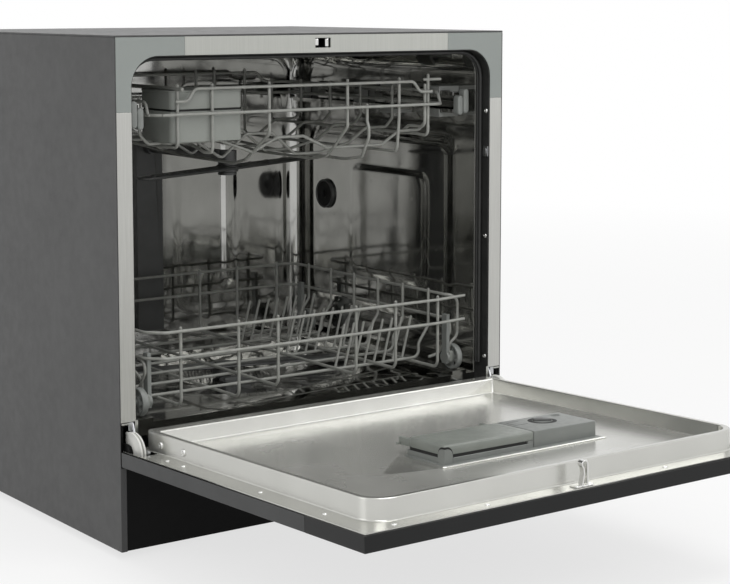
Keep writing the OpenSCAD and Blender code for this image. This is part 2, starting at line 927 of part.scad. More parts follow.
module door_outer_panel() {
    color("#3e4044")
    on_door()
    difference() {
        door_block([-door_x, door_x], [door_edge, panel_l - 0.2], [0, door_t]);
        door_block([-door_x + pan_t, door_x - pan_t], [door_edge + pan_t, panel_l - 0.2 - pan_t],
            [pan_t, door_t + e]);
        hinge_notches();
    }
}

panel_wall = 2.5;
grip_x = 75;
grip_l = [door_l - 35, door_l - 9];
grip_h = 11;
button_l = panel_l + 30;
button_size = [16, 8];
button_xs = [-door_x + 74.5, door_x - 124.5, door_x - 84.5];
window_x = 45;
window_l = [button_l - 8, button_l + 8];

module control_panel() {
    color("#1d1e20")
    on_door()
    difference() {
        door_block([-door_x, door_x], [panel_l + 0.2, door_l], [0, door_t]);
        difference() {
            door_block([-door_x + panel_wall, door_x - panel_wall], [panel_l + panel_wall, door_l - panel_wall],
                [panel_wall, door_t + e]);
            door_block([-grip_x - 2, grip_x + 2], [grip_l[0] - 2, grip_l[1] + 2], [0, grip_h + 2]);
        }
        door_block([-grip_x, grip_x], grip_l, [-e, grip_h]);
        for (x = button_xs)
            door_block([x - button_size[0] / 2 - 0.2, x + button_size[0] / 2 + 0.2],
                [button_l - button_size[1] / 2 - 0.2, button_l + button_size[1] / 2 + 0.2],
                [-e, panel_wall + e]);
        door_block([-window_x, window_x], window_l, [-e, 0.8]);
    }
}

// Push button with a collar inside the panel
module button(i) {
    x = button_xs[i];
    color("#c9cacb")
    on_door() {
        door_block([x - button_size[0] / 2, x + button_size[0] / 2],
            [button_l - button_size[1] / 2, button_l + button_size[1] / 2], [-0.4, panel_wall + 1]);
        door_block([x - button_size[0] / 2 - 2, x + button_size[0] / 2 + 2],
            [button_l - button_size[1] / 2 - 2, button_l + button_size[1] / 2 + 2],
            [panel_wall + 0.3, panel_wall + 1.6]);
    }
}

board_h = 7;
board_x = door_x - 54.5;
board_l = [panel_l + 12, panel_l + 54];

module control_board() {
    color("#2e5a3a")
    on_door() {
        door_block([-board_x, board_x], board_l, [board_h, board_h + 1.6]);
        for (x = [-board_x + 6, board_x - 6])
            door_block([x - 4, x + 4], [board_l[0] + 4, board_l[0] + 10], [panel_wall, board_h]);
        for (x = button_xs)
            door_block([x - 4, x + 4], [button_l - 4, button_l + 4], [board_h - 1, board_h + 0.5]);
    }
}

// Outline of the rim, set in by d
module rim_outline(d_side, d_rear, r) {
    round_rect(-rim_x + d_side, rim_x - d_side, -rim_l + d_side, -rim_start - d_rear, r);
}

rim_skin = 1.2;
inner_r = rim_corner_r - 6;

module door_liner() {
    color("#b9b9b4")
    on_door()
    difference() {
        union() {
            translate([0, 0, flange_h])
            linear_extrude(liner_t)
            translate([-door_x + 2, -door_l + 2])
            square([2 * door_x - 4, door_l - 4 - door_edge]);
            translate([0, 0, flange_h])
            linear_extrude(rim_h - flange_h)
            rim_outline(0, 0, rim_corner_r);
        }
        translate([0, 0, recess_h])
        linear_extrude(rim_h)
        rim_outline(rim_w, rim_rear_w, inner_r);
        difference() {
            translate([0, 0, flange_h - e])
            linear_extrude(rim_h - rim_skin - flange_h + e)
            rim_outline(rim_skin, rim_skin, rim_corner_r - rim_skin);
            translate([0, 0, recess_h - liner_t])
            linear_extrude(rim_h)
            rim_outline(rim_w - rim_skin, rim_rear_w - rim_skin, inner_r + rim_skin);
        }
        translate([0, 0, flange_h - e])
        linear_extrude(recess_h - rim_skin - flange_h + e)
        rim_outline(rim_w + 2, rim_rear_w + 2, inner_r);
        door_block([cup_x[0] - 1, cup_x[1] + 1], [cup_l[0] - 1, cup_l[1] + 1], [flange_h - e, rim_h]);
        hinge_notches();
    }
}

module latch_hook() {
    color("#c4c6c8")
    on_door() {
        door_block([-12, 12], [hook_l[0] - 6, hook_l[1]], [flange_top + 0.1, flange_top + 2]);
        door_block([-5, 5], hook_l, [flange_top + 1, rim_h - 6]);
    }
}

disp_low = disp_x - disp_w / 2;
disp_end = disp_l + disp_d;
lid_x = [disp_low, disp_low + lid_w];
cup_x = [lid_x[0] + 8, lid_x[1] - 8];
cup_l = [disp_l + 8, disp_end - 8];
lid_h = rim_h - lid_t;
cup_low = 4;
cup_wall = 2;
// Lid hinge line, set in from the lid's lower corner
lid_pin_in = 2;
lid_pin_r = 1.4;
lid_pin_l = 3;
// Bayonet cap of the rinse aid tank
rinse_x = lid_x[1] + 46;
rinse_l = disp_l + 46;
rinse_r = 12;
rinse_stem_r = 6;
rinse_h = rim_h - 2.7;

module dispenser_body() {
    color("#8a8d8a")
    on_door()
    difference() {
        union() {
            door_block([disp_low - 7, disp_low + disp_w + 6], [disp_l - 3, disp_end + 7],
                [recess_h + 0.1, recess_h + 2]);
            door_block([lid_x[0], lid_x[1] + e], [disp_l, disp_end], [recess_h + 1, lid_h - 1.2]);
            door_block([lid_x[1] + gap, disp_low + disp_w], [disp_l, disp_end], [recess_h + 1, rim_h]);
            door_block([lid_x[0] + 1, lid_x[0] + 10], [disp_end + gap, disp_end + 3],
                [recess_h + 1, rim_h - 2]);
            door_block([lid_x[0] - lid_pin_l - gap, lid_x[0] - gap], [disp_l, disp_l + 6],
                [recess_h + 1, lid_h + lid_pin_in + 3]);
            door_block(cup_x, cup_l, [cup_low, recess_h + 1]);
        }
        door_block([cup_x[0] + cup_wall, cup_x[1] - cup_wall], [cup_l[0] + cup_wall, cup_l[1] - cup_wall],
            [cup_low + cup_wall, rim_h]);
        rod_x(lid_pin_r + run_c, lid_x[0] - 5, lid_x[0], -disp_l - lid_pin_in, lid_h + lid_pin_in);
        rod_x(lid_pin_r + run_c, lid_x[1], lid_x[1] + lid_pin_l + 1, -disp_l - lid_pin_in, lid_h + lid_pin_in);
        rod_z(rinse_r + gap, rinse_h - gap, rim_h + e, rinse_x, -rinse_l);
        rod_z(rinse_stem_r + run_c, rinse_h - 9, rim_h + e, rinse_x, -rinse_l);
    }
}

module dispenser_lid() {
    color("#80857f")
    on_door() {
        door_block([lid_x[0], lid_x[1]], [disp_l, disp_end], [lid_h, rim_h]);
        rod_x(lid_pin_r, lid_x[0] - lid_pin_l, lid_x[1] + lid_pin_l, -disp_l - lid_pin_in, lid_h + lid_pin_in);
    }
}

module rinse_cap() {
    color("#6d706e")
    on_door() {
        rod_z(rinse_r, rinse_h, rinse_h + 3, rinse_x, -rinse_l);
        rod_z(rinse_stem_r, rinse_h - 8, rinse_h + 1, rinse_x, -rinse_l);
        translate([rinse_x, -rinse_l, rinse_h + 2])
        rotate([0, 0, 35])
        block([-9, -2.5, 0], [9, 2.5, 3.2]);
    }
}

// ---- Upper rack ----
u_uprights = [-182, -136, -57, -10, 38, 85, 133, 178];
u_raised = 159;
u_kink = 22;
// Distance between the centres of wires welded across each other
lap = 2 * wire_r - 0.6;
function u_cross_y(k) = urack_y + 40 + k * (u_back - urack_y - 80) / 4;

// Loop of wire at one height
module wire_loop(hx, y0, y1, z, cut, r = wire_r) {
    bent_wire([[-hx + cut, y0, z], [hx - cut, y0, z], [hx, y0 + cut, z], [hx, y1 - cut, z],
        [hx - cut, y1, z], [-hx + cut, y1, z], [-hx, y1 - cut, z], [-hx, y0 + cut, z],
        [-hx + cut, y0, z]], r);
}

module upper_rack() {
    color("#9a9b98")
    place() {
        wire_loop(urack_x, urack_y, u_back, urack_mid, 12);
        for (y = [urack_y, u_back])
            bent_wire([[-urack_x + 8, y, urack_side], [-u_raised - u_kink, y, urack_side],
                [-u_raised - 8, y, urack_side + 3], [-u_raised, y, urack_top], [u_raised, y, urack_top],
                [u_raised + 8, y, urack_side + 3], [u_raised + u_kink, y, urack_side],
                [urack_x - 8, y, urack_side]]);
        for (s = [-1, 1])
            bent_wire([[s * (urack_x - 8), urack_y, urack_side], [s * urack_x, urack_y + 8, urack_side],
                [s * urack_x, u_back - 8, urack_side], [s * (urack_x - 8), u_back, urack_side]]);
        for (x = u_uprights) {
            top = abs(x) < u_raised ? urack_top + 3 : urack_side + 3;
            bent_wire([[x, urack_y + lap, top], [x, urack_y + lap, urack_floor + 4],
                [x, urack_y + lap + 4, urack_floor], [x, u_back - lap - 4, urack_floor],
                [x, u_back - lap, urack_floor + 4], [x, u_back - lap, top]]);
        }
        for (k = [0 : 4]) {
            y = u_cross_y(k);
            bent_wire([[-urack_x + lap, y, urack_side + 3], [-urack_x + lap, y, urack_floor + 14],
                [-urack_x + 14, y, urack_floor + lap], [urack_x - 14, y, urack_floor + lap],
                [urack_x - lap, y, urack_floor + 14], [urack_x - lap, y, urack_side + 3]]);
        }
    }
}

tray_x = [-184, -88];
tray_y = [urack_y + 6, urack_y + 80];
tray_wall = 2;
tray_post = 7;
tray_low_z = urack_floor + lap + wire_r + seat;
tray_slot_z = [urack_mid + 3.5, urack_mid + 5];
tray_top_z = urack_top - 2;

// Open cutlery basket with a slot all round between its corner posts
module cutlery_basket() {
    color("#82847f")
    place()
    difference() {
        block([tray_x[0], tray_y[0], tray_low_z], [tray_x[1], tray_y[1], tray_top_z]);
        block([tray_x[0] + tray_wall, tray_y[0] + tray_wall, tray_low_z + tray_wall],
            [tray_x[1] - tray_wall, tray_y[1] - tray_wall, tray_top_z + e]);
        block([tray_x[0] + tray_post, tray_y[0] - e, tray_slot_z[0]],
            [tray_x[1] - tray_post, tray_y[1] + e, tray_slot_z[1]]);
        block([tray_x[0] - e, tray_y[0] + tray_post, tray_slot_z[0]],
            [tray_x[1] + e, tray_y[1] - tray_post, tray_slot_z[1]]);
    }
}

rail_z = [urack_mid - 13, urack_mid + 14];
// Inner and outer face of the rails
rail_in = urack_x + 15;
rail_x = rail_in + 15;
rail_y = [urack_y + 7, tub_back - 30];
rail_t = 1.5;
rail_lip = 5;
shoe_ys = [u_back - 156, u_back - 20];
shoe_l = 18;

// Plastic shoes on the rack that run in the rails
module rack_shoes() {
    color("#8f918e")
    place()
    both_sides()
    for (y = shoe_ys) {
        block([rail_in + rail_t + gap, y, rail_z[0] + rail_t + gap],
            [rail_x - rail_t - gap, y + shoe_l, rail_z[1] - rail_t - gap]);
        block([urack_x + wire_r + seat, y + 3, urack_mid - 3], [rail_in + rail_t + gap + e, y + shoe_l - 3,
            urack_mid + 3]);
    }
}

module upper_rails() {
    color("#a3a5a3")
    place()
    both_sides()
    difference() {
        block([rail_in, rail_y[0], rail_z[0]], [rail_x, rail_y[1], rail_z[1]]);
        block([rail_in + rail_t, rail_y[0] - e, rail_z[0] + rail_t],
            [rail_x - rail_t, rail_y[1] + e, rail_z[1] - rail_t]);
        block([rail_in - e, rail_y[0] - e, rail_z[0] + rail_lip],
            [rail_in + rail_t + e, rail_y[1] + e, rail_z[1] - rail_lip]);
    }
}

cap_y = [rail_y[0] - 12, rail_y[0] - seat];

module rail_end_caps() {
    color("#8b8d8b")
    place()
    both_sides() {
        for (z = [rail_z[0] + 3, rail_z[1] - 1])
            rod_y(5, cap_y[0], cap_y[1], rail_x - 3, z, 32);
        block([rail_x - 8, cap_y[0], rail_z[0] + 3], [rail_x + 2, cap_y[1], rail_z[1] - 1]);
        for (z = [rail_z[0] + 2.5, rail_z[1] - 7])
            rod_y(4.5, cap_y[0] + 2, cap_y[1], rail_x - 11.5, z, 32);
        block([rail_x - 16, cap_y[0] + 2, rail_z[0] + 2.5], [rail_x - 7, cap_y[1], rail_z[1] - 7]);
    }
}

guide_ys = [rail_y[0] + 25, rail_y[0] + 123];
guide_l = 28;
guide_t = 5.6;

// Fixed guides on the tub walls that wrap round the rails
module rail_guides() {
    color("#8d8f8d")
    place()
    both_sides()
    for (y = guide_ys)
        difference() {
            block([rail_in - 2.4, y, rail_z[0] - gap - guide_t],
                [mouth_x - 0.1, y + guide_l, rail_z[1] + gap + guide_t]);
            block([rail_in - gap, y - e, rail_z[0] - gap], [rail_x + gap, y + guide_l + e, rail_z[1] + gap]);
            block([rail_in - 3, y - e, rail_z[0] + rail_lip - 1],
                [rail_in, y + guide_l + e, rail_z[1] - rail_lip + 1]);
        }
}

tube_r = 8;
uarm_z = urack_floor - uarm_drop;

// Tube under the upper rack that feeds its spray arm
module upper_feed_tube() {
    color("#6f7275")
    place()
    difference() {
        union() {
            rod_y(tube_r, uarm_y, feed_y - gap, 0, feed_z);
            rod_z(post_r + 4, uarm_z + arm_t + 1.4, feed_z + tube_r, 0, uarm_y);
            rod_z(post_r, uarm_z - 3, feed_z, 0, uarm_y);
            rod_z(post_r + 4, uarm_z - 6, uarm_z - 2.6, 0, uarm_y);
            for (k = [3, 4])
                block([-3, u_cross_y(k) - 3, feed_z + tube_r - 2],
                    [3, u_cross_y(k) + 3, urack_floor + lap - wire_r - seat]);
        }
        rod_y(tube_r - 2, uarm_y, feed_y, 0, feed_z);
    }
}

module upper_spray_arm() {
    color("#6f7275")
    place()
    translate([0, uarm_y, uarm_z + arm_t / 2])
    rotate([0, 0, uarm_turn])
    spray_blade(uarm_l, 34, 22, arm_t / 2 + 2, arm_t / 2 + 0.8);
}

// ---- Lower rack ----
l_uprights = [-183, -105, -50, 64, 124.5, 186];
// Uprights between these lines pass over the dispenser
l_raised = [-66, 160];
l_floor_x = lrack_x - 19;
l_cross_step = (l_back - lrack_y - 102) / 5;
l_cross_y = [for (k = [0 : 5]) lrack_y + 58 + k * l_cross_step];
tine_x = 72;
tine_pitch = 15;
tine_count = 8;
tine_lean = 14;
tine_h = 54;
tine_r = 1.6;

module lower_rack() {
    color("#9a9b98")
    place() {
        for (z = [lrack_top, lrack_mid])
            wire_loop(lrack_x, lrack_y, l_back, z, 10);
        for (x = l_uprights) {
            low = x > l_raised[0] && x < l_raised[1] ? lrack_floor + 2 * lap : lrack_floor;
            bent_wire([[x, lrack_y + lap, lrack_top + 3], [x, lrack_y + lap, low + 8],
                [x, lrack_y + lap + 8, low], [x, l_back - lap - 8, low], [x, l_back - lap, low + 8],
                [x, l_back - lap, lrack_top + 3]]);
        }
        for (y = l_cross_y)
            bent_wire([[-lrack_x + lap, y, lrack_top + 3], [-lrack_x + lap, y, lrack_mid - 14],
                [-l_floor_x, y, lrack_mid - 36], [-l_floor_x, y, lrack_floor + lap],
                [l_floor_x, y, lrack_floor + lap], [l_floor_x, y, lrack_mid - 36],
                [lrack_x - lap, y, lrack_mid - 14], [lrack_x - lap, y, lrack_top + 3]]);
        for (y = [l_cross_y[0], l_cross_y[2], l_cross_y[4]], k = [0 : tine_count - 1])
            wire([tine_x + k * tine_pitch, y + 1, lrack_floor + lap + 2],
                [tine_x + k * tine_pitch + tine_lean, y + 1, lrack_floor + lap + tine_h], tine_r);
    }
}

axle_r = 3.4;
wheel_x = lrack_x + wheel_out;
wheel_ys = [lrack_y + wheel_front, l_back - wheel_rear];
axle_z = track_z + 0.3 + wheel_r;
wheel_in = wheel_x - wheel_w / 2;
bracket_x = lrack_x - wire_r - seat;

// Axle brackets clipped inside the lower rack's side wires
module wheel_brackets() {
    color("#8a8d8b")
    place()
    both_sides()
    for (y = wheel_ys) {
        block([bracket_x - 5, y - 5, axle_z - 8], [bracket_x, y + 5, lrack_mid + 6]);
        rod_x(8, bracket_x - 5, bracket_x, y, axle_z);
        rod_x(axle_r + 2.5, bracket_x - 1, wheel_in - 0.4, y, axle_z);
        rod_x(axle_r, bracket_x, wheel_x + wheel_w / 2 + 1.5, y, axle_z);
    }
}

module wheel(s, y) {
    color("#a1a3a0")
    place()
    translate([s * wheel_x, y, axle_z])
    rotate([0, 90, 0])
    difference() {
        union() {
            difference() {
                cylinder(r = wheel_r, h = wheel_w, center = true, $fn = 72);
                for (k = [-1, 1])
                    translate([0, 0, k * wheel_w / 2])
                    cylinder(r = wheel_r - 3, h = 4, center = true, $fn = 72);
            }
            cylinder(r = 7, h = wheel_w, center = true, $fn = 48);
        }
        cylinder(r = axle_r + run_c, h = wheel_w + 2, center = true, $fn = 48);
        for (a = [0 : 60 : 300])
            rotate([0, 0, a])
            translate([10.2, 0, 0])
            cylinder(r = 1.6, h = wheel_w + 2, center = true, $fn = 20);
    }
}

side_panel(-1);  // side_panel_left
side_panel(1);  // side_panel_right
top_panel();
rear_cover();
base_tray();
kick_plate();
feet();
tub_wrap();
tub_rear_wall();
tub_floor();
frame_sides();
frame_top();
frame_corners();
mouth_trim();
door_seal();
trim_screws();
latch_keeper();
hinge_brackets();
door_springs();
sump();
filter_plate();
wash_pump();
drain_pump();
inlet_valve();
drain_spigot();
power_inlet();
air_break();
softener();
feed_pipe();
rail_guides();
filter_basket();
salt_cap();
float_cup();
lower_spray_arm();
door_outer_panel();
control_panel();
door_liner();
hinge_arms();
hinge_covers();
latch_hook();
dispenser_body();
control_board();
dispenser_lid();
rinse_cap();
button(0);  // power_button
button(1);  // program_button
button(2);  // start_button
upper_rack();
cutlery_basket();
rack_shoes();
upper_feed_tube();
upper_rails();
rail_end_caps();
upper_spray_arm();
lower_rack();
wheel_brackets();
wheel(-1, wheel_ys[0]);  // wheel_front_left
wheel(1, wheel_ys[0]);  // wheel_front_right
wheel(-1, wheel_ys[1]);  // wheel_rear_left
wheel(1, wheel_ys[1]);  // wheel_rear_right
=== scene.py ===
"""Looks of a countertop dishwasher: finishes, bent wire, pressed steel and moulded parts around its frame.

Lengths in this script are millimetres in the cabinet's own frame, X to the right, Y from the front plane
to the back and Z up from the cabinet base. Door lengths are given flat: X across, L along the door from
its hinge edge and H inward from its outer face, which is up while the door lies open. at() and on_door()
turn both into the shared frame's metres.
"""

import math
from collections import Counter

import bmesh
import bpy
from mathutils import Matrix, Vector


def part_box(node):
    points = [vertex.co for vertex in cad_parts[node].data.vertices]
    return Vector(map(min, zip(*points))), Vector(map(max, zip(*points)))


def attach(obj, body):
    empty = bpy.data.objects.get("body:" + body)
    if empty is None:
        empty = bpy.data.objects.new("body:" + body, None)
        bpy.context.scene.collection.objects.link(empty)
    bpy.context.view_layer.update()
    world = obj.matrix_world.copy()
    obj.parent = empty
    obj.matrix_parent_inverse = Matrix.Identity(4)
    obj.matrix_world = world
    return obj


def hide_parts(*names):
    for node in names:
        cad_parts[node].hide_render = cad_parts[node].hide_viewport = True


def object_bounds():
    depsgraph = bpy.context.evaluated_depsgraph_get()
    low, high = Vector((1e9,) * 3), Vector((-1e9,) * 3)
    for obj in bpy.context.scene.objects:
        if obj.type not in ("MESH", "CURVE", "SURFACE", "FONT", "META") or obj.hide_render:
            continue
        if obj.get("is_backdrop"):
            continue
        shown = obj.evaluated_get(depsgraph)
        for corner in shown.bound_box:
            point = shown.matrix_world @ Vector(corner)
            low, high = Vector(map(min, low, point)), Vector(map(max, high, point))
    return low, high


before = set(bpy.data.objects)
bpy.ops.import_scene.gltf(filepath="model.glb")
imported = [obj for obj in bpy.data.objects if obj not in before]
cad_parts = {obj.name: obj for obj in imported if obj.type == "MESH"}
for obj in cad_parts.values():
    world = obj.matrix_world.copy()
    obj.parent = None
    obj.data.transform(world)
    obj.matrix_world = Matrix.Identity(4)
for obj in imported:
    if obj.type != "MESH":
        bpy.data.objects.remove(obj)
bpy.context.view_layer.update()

MM = 0.001
PANEL_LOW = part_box("side_panel_left")[0]
FRONT_Y, BASE_Z = PANEL_LOW.y, PANEL_LOW.z

# Door: hinge pin before the front plane, above the base and above the outer face, and the resting tilt
PIVOT_Y = 5
PIVOT_Z = 115
PIVOT_H = 17
DOOR_TILT = math.radians(2)


def at(x, y, z):
    """A cabinet point in metres of the shared frame."""
    return Vector((x * MM, FRONT_Y + y * MM, BASE_Z + z * MM))


def on_door(x, l, h):
    """A point of the flat door, carried to where the open door rests."""
    y, z = PIVOT_Y - l, h - PIVOT_H
    turned_y = y * math.cos(DOOR_TILT) + z * math.sin(DOOR_TILT)
    turned_z = -y * math.sin(DOOR_TILT) + z * math.cos(DOOR_TILT)
    return at(x, turned_y - PIVOT_Y, turned_z + PIVOT_Z)


def facing_back(x, z, y):
    """A cabinet point given as a place on the back plane and its depth."""
    return at(x, y, z)


def facing_side(y, z, x):
    """A cabinet point given as a place on a side wall and its distance across."""
    return at(x, y, z)


# ---- Camera and lamps ----

# Picture size in pixels, the lens in the same pixels, and where the lens axis meets the picture
PICTURE = (730, 584)
LENS_PX = 1819.2
AXIS_PX = (365, 200)
CAMERA_AT = (-1219.3, -1754.6, 613.0)
CAMERA_AZIMUTH = math.radians(36.108)
CAMERA_DOWN = math.radians(6.269)
SENSOR = 36


def stand(thing, name, place, direction):
    """Links a lamp or camera that looks along a direction."""
    held = bpy.data.objects.new(name, thing)
    bpy.context.scene.collection.objects.link(held)
    held.location = place
    held.rotation_mode = "QUATERNION"
    held.rotation_quaternion = direction.to_track_quat("-Z", "Y")
    return held


lens = bpy.data.cameras.new("camera")
lens.sensor_width = SENSOR
lens.lens = LENS_PX / PICTURE[0] * SENSOR
lens.shift_x = (PICTURE[0] / 2 - AXIS_PX[0]) / PICTURE[0]
lens.shift_y = (AXIS_PX[1] - PICTURE[1] / 2) / PICTURE[0]
lens.clip_start, lens.clip_end = 0.05, 50
bpy.context.scene.camera = stand(lens, "camera", at(*CAMERA_AT), Vector((
    math.sin(CAMERA_AZIMUTH) * math.cos(CAMERA_DOWN),
    math.cos(CAMERA_AZIMUTH) * math.cos(CAMERA_DOWN),
    -math.sin(CAMERA_DOWN),
)))

# Soft boxes: name, place, point they face, width and height in metres, and watts
SOFT_BOXES = (
    ("key_lamp", (-1.9, -3.0, 2.5), (0, -0.1, 0.3), (2.4, 1.8), 40),
    ("side_lamp", (-3.4, 0.6, 1.3), (0, 0, 0.3), (1.8, 2.2), 14),
    ("overhead_lamp", (0.2, -0.9, 2.6), (0, -0.2, 0.1), (1.8, 1.2), 26),
    ("right_lamp", (2.6, -2.4, 1.9), (0, -0.2, 0.3), (1.2, 1.8), 20),
)
for name, place, target, size, watts in SOFT_BOXES:
    lamp = bpy.data.lights.new(name, "AREA")
    lamp.shape = "RECTANGLE"
    lamp.size, lamp.size_y = size
    lamp.energy = watts
    stand(lamp, name, place, Vector(target) - Vector(place))


# ---- Colours and nodes ----

def srgb(hex_colour):
    """Linear colour from an sRGB hex value."""
    parts = [int(hex_colour[i:i + 2], 16) / 255 for i in (1, 3, 5)]
    linear = [c / 12.92 if c <= 0.04045 else ((c + 0.055) / 1.055) ** 2.4 for c in parts]
    return (*linear, 1.0)


def add(tree, kind, settings=None, inputs=None):
    """Adds a node; an input is a value, or an output socket to link from."""
    node = tree.nodes.new(kind)
    for key, value in (settings or {}).items():
        setattr(node, key, value)
    for key, value in (inputs or {}).items():
        if isinstance(value, bpy.types.NodeSocket):
            tree.links.new(value, node.inputs[key])
        else:
            node.inputs[key].default_value = value
    return node


# ---- Materials ----

def surface(name, light, dark, rough, clouds, grain, depth, metallic=0.0, lay=(1, 1, 1),
            streak=0.0, waves=None, marks=None, specular=0.5):
    """A finish worked in millimetres.

    Colour runs from dark to light in clouds; rough is the lowest and highest roughness; grain is the
    spacing of the skin's texture and depth its height. lay stretches the grain, streak is its share in
    the colour, waves is the spacing and height of slow unevenness, and marks the spacing of dried drops.
    """
    material = bpy.data.materials.new(name)
    material.use_nodes = True
    tree = material.node_tree
    tree.nodes.clear()
    shader = add(tree, "ShaderNodeBsdfPrincipled", inputs={
        "Metallic": metallic, "Specular IOR Level": specular})
    add(tree, "ShaderNodeOutputMaterial", inputs={"Surface": shader.outputs["BSDF"]})
    place = add(tree, "ShaderNodeTexCoord").outputs["Object"]
    laid = add(tree, "ShaderNodeMapping", inputs={"Vector": place, "Scale": lay}).outputs["Vector"]
    cloud = add(tree, "ShaderNodeTexNoise", inputs={
        "Vector": place, "Scale": 1 / (clouds * MM), "Detail": 3.0}).outputs["Fac"]
    skin = add(tree, "ShaderNodeTexNoise", inputs={
        "Vector": laid, "Scale": 1 / (grain * MM), "Detail": 3.0, "Roughness": 0.6}).outputs["Fac"]
    shade = add(tree, "ShaderNodeMix", inputs={"Factor": streak, "A": cloud, "B": skin}).outputs["Result"]
    spread = add(tree, "ShaderNodeMapRange", inputs={
        "Value": shade, "From Min": 0.3, "From Max": 0.7}).outputs["Result"]
    colour = add(tree, "ShaderNodeMix", {"data_type": "RGBA"}, {
        "Factor": spread, 6: srgb(dark), 7: srgb(light)})
    tree.links.new(colour.outputs[2], shader.inputs["Base Color"])
    smear = add(tree, "ShaderNodeTexNoise", inputs={
        "Vector": laid, "Scale": 1 / (grain * 8 * MM), "Detail": 4.0}).outputs["Fac"]
    dullness = add(tree, "ShaderNodeMapRange", inputs={
        "Value": smear, "From Min": 0.3, "From Max": 0.7, "To Min": rough[0], "To Max": rough[1]})
    dull = dullness.outputs["Result"]
    if marks:
        drops = add(tree, "ShaderNodeTexVoronoi", inputs={"Vector": place, "Scale": 1 / (marks * MM)})
        rings = add(tree, "ShaderNodeMapRange", inputs={
            "Value": drops.outputs["Distance"], "From Min": 0.05, "From Max": 0.16,
            "To Min": 0.1, "To Max": 0.0}).outputs["Result"]
        dull = add(tree, "ShaderNodeMath", {"operation": "ADD"}, {0: dull, 1: rings}).outputs[0]
    tree.links.new(dull, shader.inputs["Roughness"])
    relief = add(tree, "ShaderNodeBump", inputs={"Height": skin, "Distance": depth * MM})
    if waves:
        slow = add(tree, "ShaderNodeTexNoise", inputs={
            "Vector": place, "Scale": 1 / (waves[0] * MM), "Detail": 1.0}).outputs["Fac"]
        rolled = add(tree, "ShaderNodeBump", inputs={"Height": slow, "Distance": waves[1] * MM})
        tree.links.new(rolled.outputs["Normal"], relief.inputs["Normal"])
    tree.links.new(relief.outputs["Normal"], shader.inputs["Normal"])
    return material


# Powder-coated steel: an even, slightly soft sheen with fine orange peel, about 1.6 mm across
ENAMEL = surface("powder_coated_steel", "#494949", "#444444", (0.36, 0.48), 90, 1.6, 0.008, specular=0.3)
DOOR_ENAMEL = surface("powder_coated_door", "#343535", "#2d2e2e", (0.3, 0.4), 90, 1.6, 0.008, specular=0.35)
# Hard black lacquer on the fascia: glossier and flatter than powder
PANEL_BLACK = surface("fascia_lacquer", "#141515", "#0f1010", (0.2, 0.26), 60, 2.5, 0.003, specular=0.25)
KICK_BLACK = surface("plinth_enamel", "#0c0c0c", "#090909", (0.4, 0.5), 80, 1.6, 0.02, specular=0.1)
# Brushed stainless: hair-fine scratches along the strip, drawn 1 mm wide so that they show. The uprights and
# the top strip are one steel; the uprights are painted lighter and the top strip darker, for the light that
# falls on each
STRIP_UPRIGHT_PAINTED_LIGHTER = surface("brushed_stainless_upright_painted_lighter", "#bdbdb9", "#aeaeaa", (0.34, 0.44), 200, 0.8, 0.006,
    1.0, (1, 1, 0.012), 0.75)
STRIP_ACROSS_PAINTED_DARKER = surface("brushed_stainless_across_painted_darker", "#b0b1ac", "#a4a5a0", (0.34, 0.44), 200, 0.8, 0.006,
    1.0, (1, 1, 0.012), 0.75)
# Corner mouldings are satin-painted ABS: smooth, greener and flatter than the strips
CORNER_GREY = surface("corner_satin_abs", "#8b908d", "#868b88", (0.3, 0.4), 50, 1.4, 0.006)
# Bright annealed stainless after deep drawing: nearly a mirror, with slow press waves and dried drops
TUB_STEEL = surface("tub_bright_stainless", "#b6b6b3", "#a4a4a1", (0.05, 0.12), 70, 2.4, 0.002,
    1.0, (1, 1, 0.4), 0.2, (80, 0.5), 21)
# The door's liner is the same sheet, painted lighter and given a diffuse share: painted light standing in
# for the bright reflections on it
LINER_STEEL_PAINTED_LIGHT = surface("liner_stainless_painted_light", "#c8c8c3", "#bfbfba", (0.21, 0.262), 70, 10, 0.002,
    0.8, (1, 1, 1), 0.1, (70, 0.35))
# Its floor is painted lighter still, with a larger diffuse share: more painted light for the reflections on
# it
PAN_FLOOR_PAINTED_LIGHT = surface("liner_floor_stainless_painted_light", "#cdcdc8", "#c2c2bd", (0.21, 0.262), 70, 10, 0.002,
    0.6, (1, 1, 1), 0.1, (70, 0.35))
# Nylon-dipped steel wire: satin, a little cloudy where the dip has run
WIRE = surface("nylon_coated_wire", "#979893", "#898a85", (0.3, 0.44), 9, 2.2, 0.05)
# Polypropylene mouldings with a fine spark-eroded grain, about 0.9 mm across
BASKET_GREY = surface("basket_polypropylene", "#8b8e89", "#838681", (0.4, 0.52), 35, 0.9, 0.03)
RUNNER_GREY = surface("runner_polypropylene", "#878a87", "#7c7f7c", (0.36, 0.48), 25, 0.9, 0.03)
MID_GREY = surface("grey_polypropylene", "#989a97", "#8c8e8b", (0.36, 0.48), 35, 0.9, 0.03)
DISPENSER_GREY = surface("dispenser_polypropylene", "#7f827f", "#767976", (0.36, 0.48), 35, 0.9, 0.025)
LID_GREY = surface("lid_polypropylene", "#848882", "#7a7e79", (0.34, 0.46), 35, 0.9, 0.025)
CAP_GREY = surface("cap_polypropylene", "#666966", "#5c5f5c", (0.36, 0.46), 20, 0.9, 0.025)
ARM_GREY = surface("spray_arm_polypropylene", "#4b4c4b", "#424342", (0.34, 0.46), 35, 0.9, 0.025)
BLACK_PLASTIC = surface("black_polypropylene", "#232423", "#1a1b1a", (0.4, 0.52), 30, 0.9, 0.03)
# Acetal runners and covers: dense, slippery and slightly waxy
WHITE = surface("white_acetal", "#e0e0dc", "#d5d5d0", (0.29, 0.38), 30, 1.2, 0.008)
# Extruded EPDM rubber: near black and dull, with dust in its skin
SEAL = surface("seal_epdm", "#2b2b2a", "#1f201f", (0.5, 0.66), 18, 1.2, 0.03)
FOOT_RUBBER = surface("foot_epdm", "#272727", "#1b1b1b", (0.55, 0.7), 14, 1.0, 0.04)
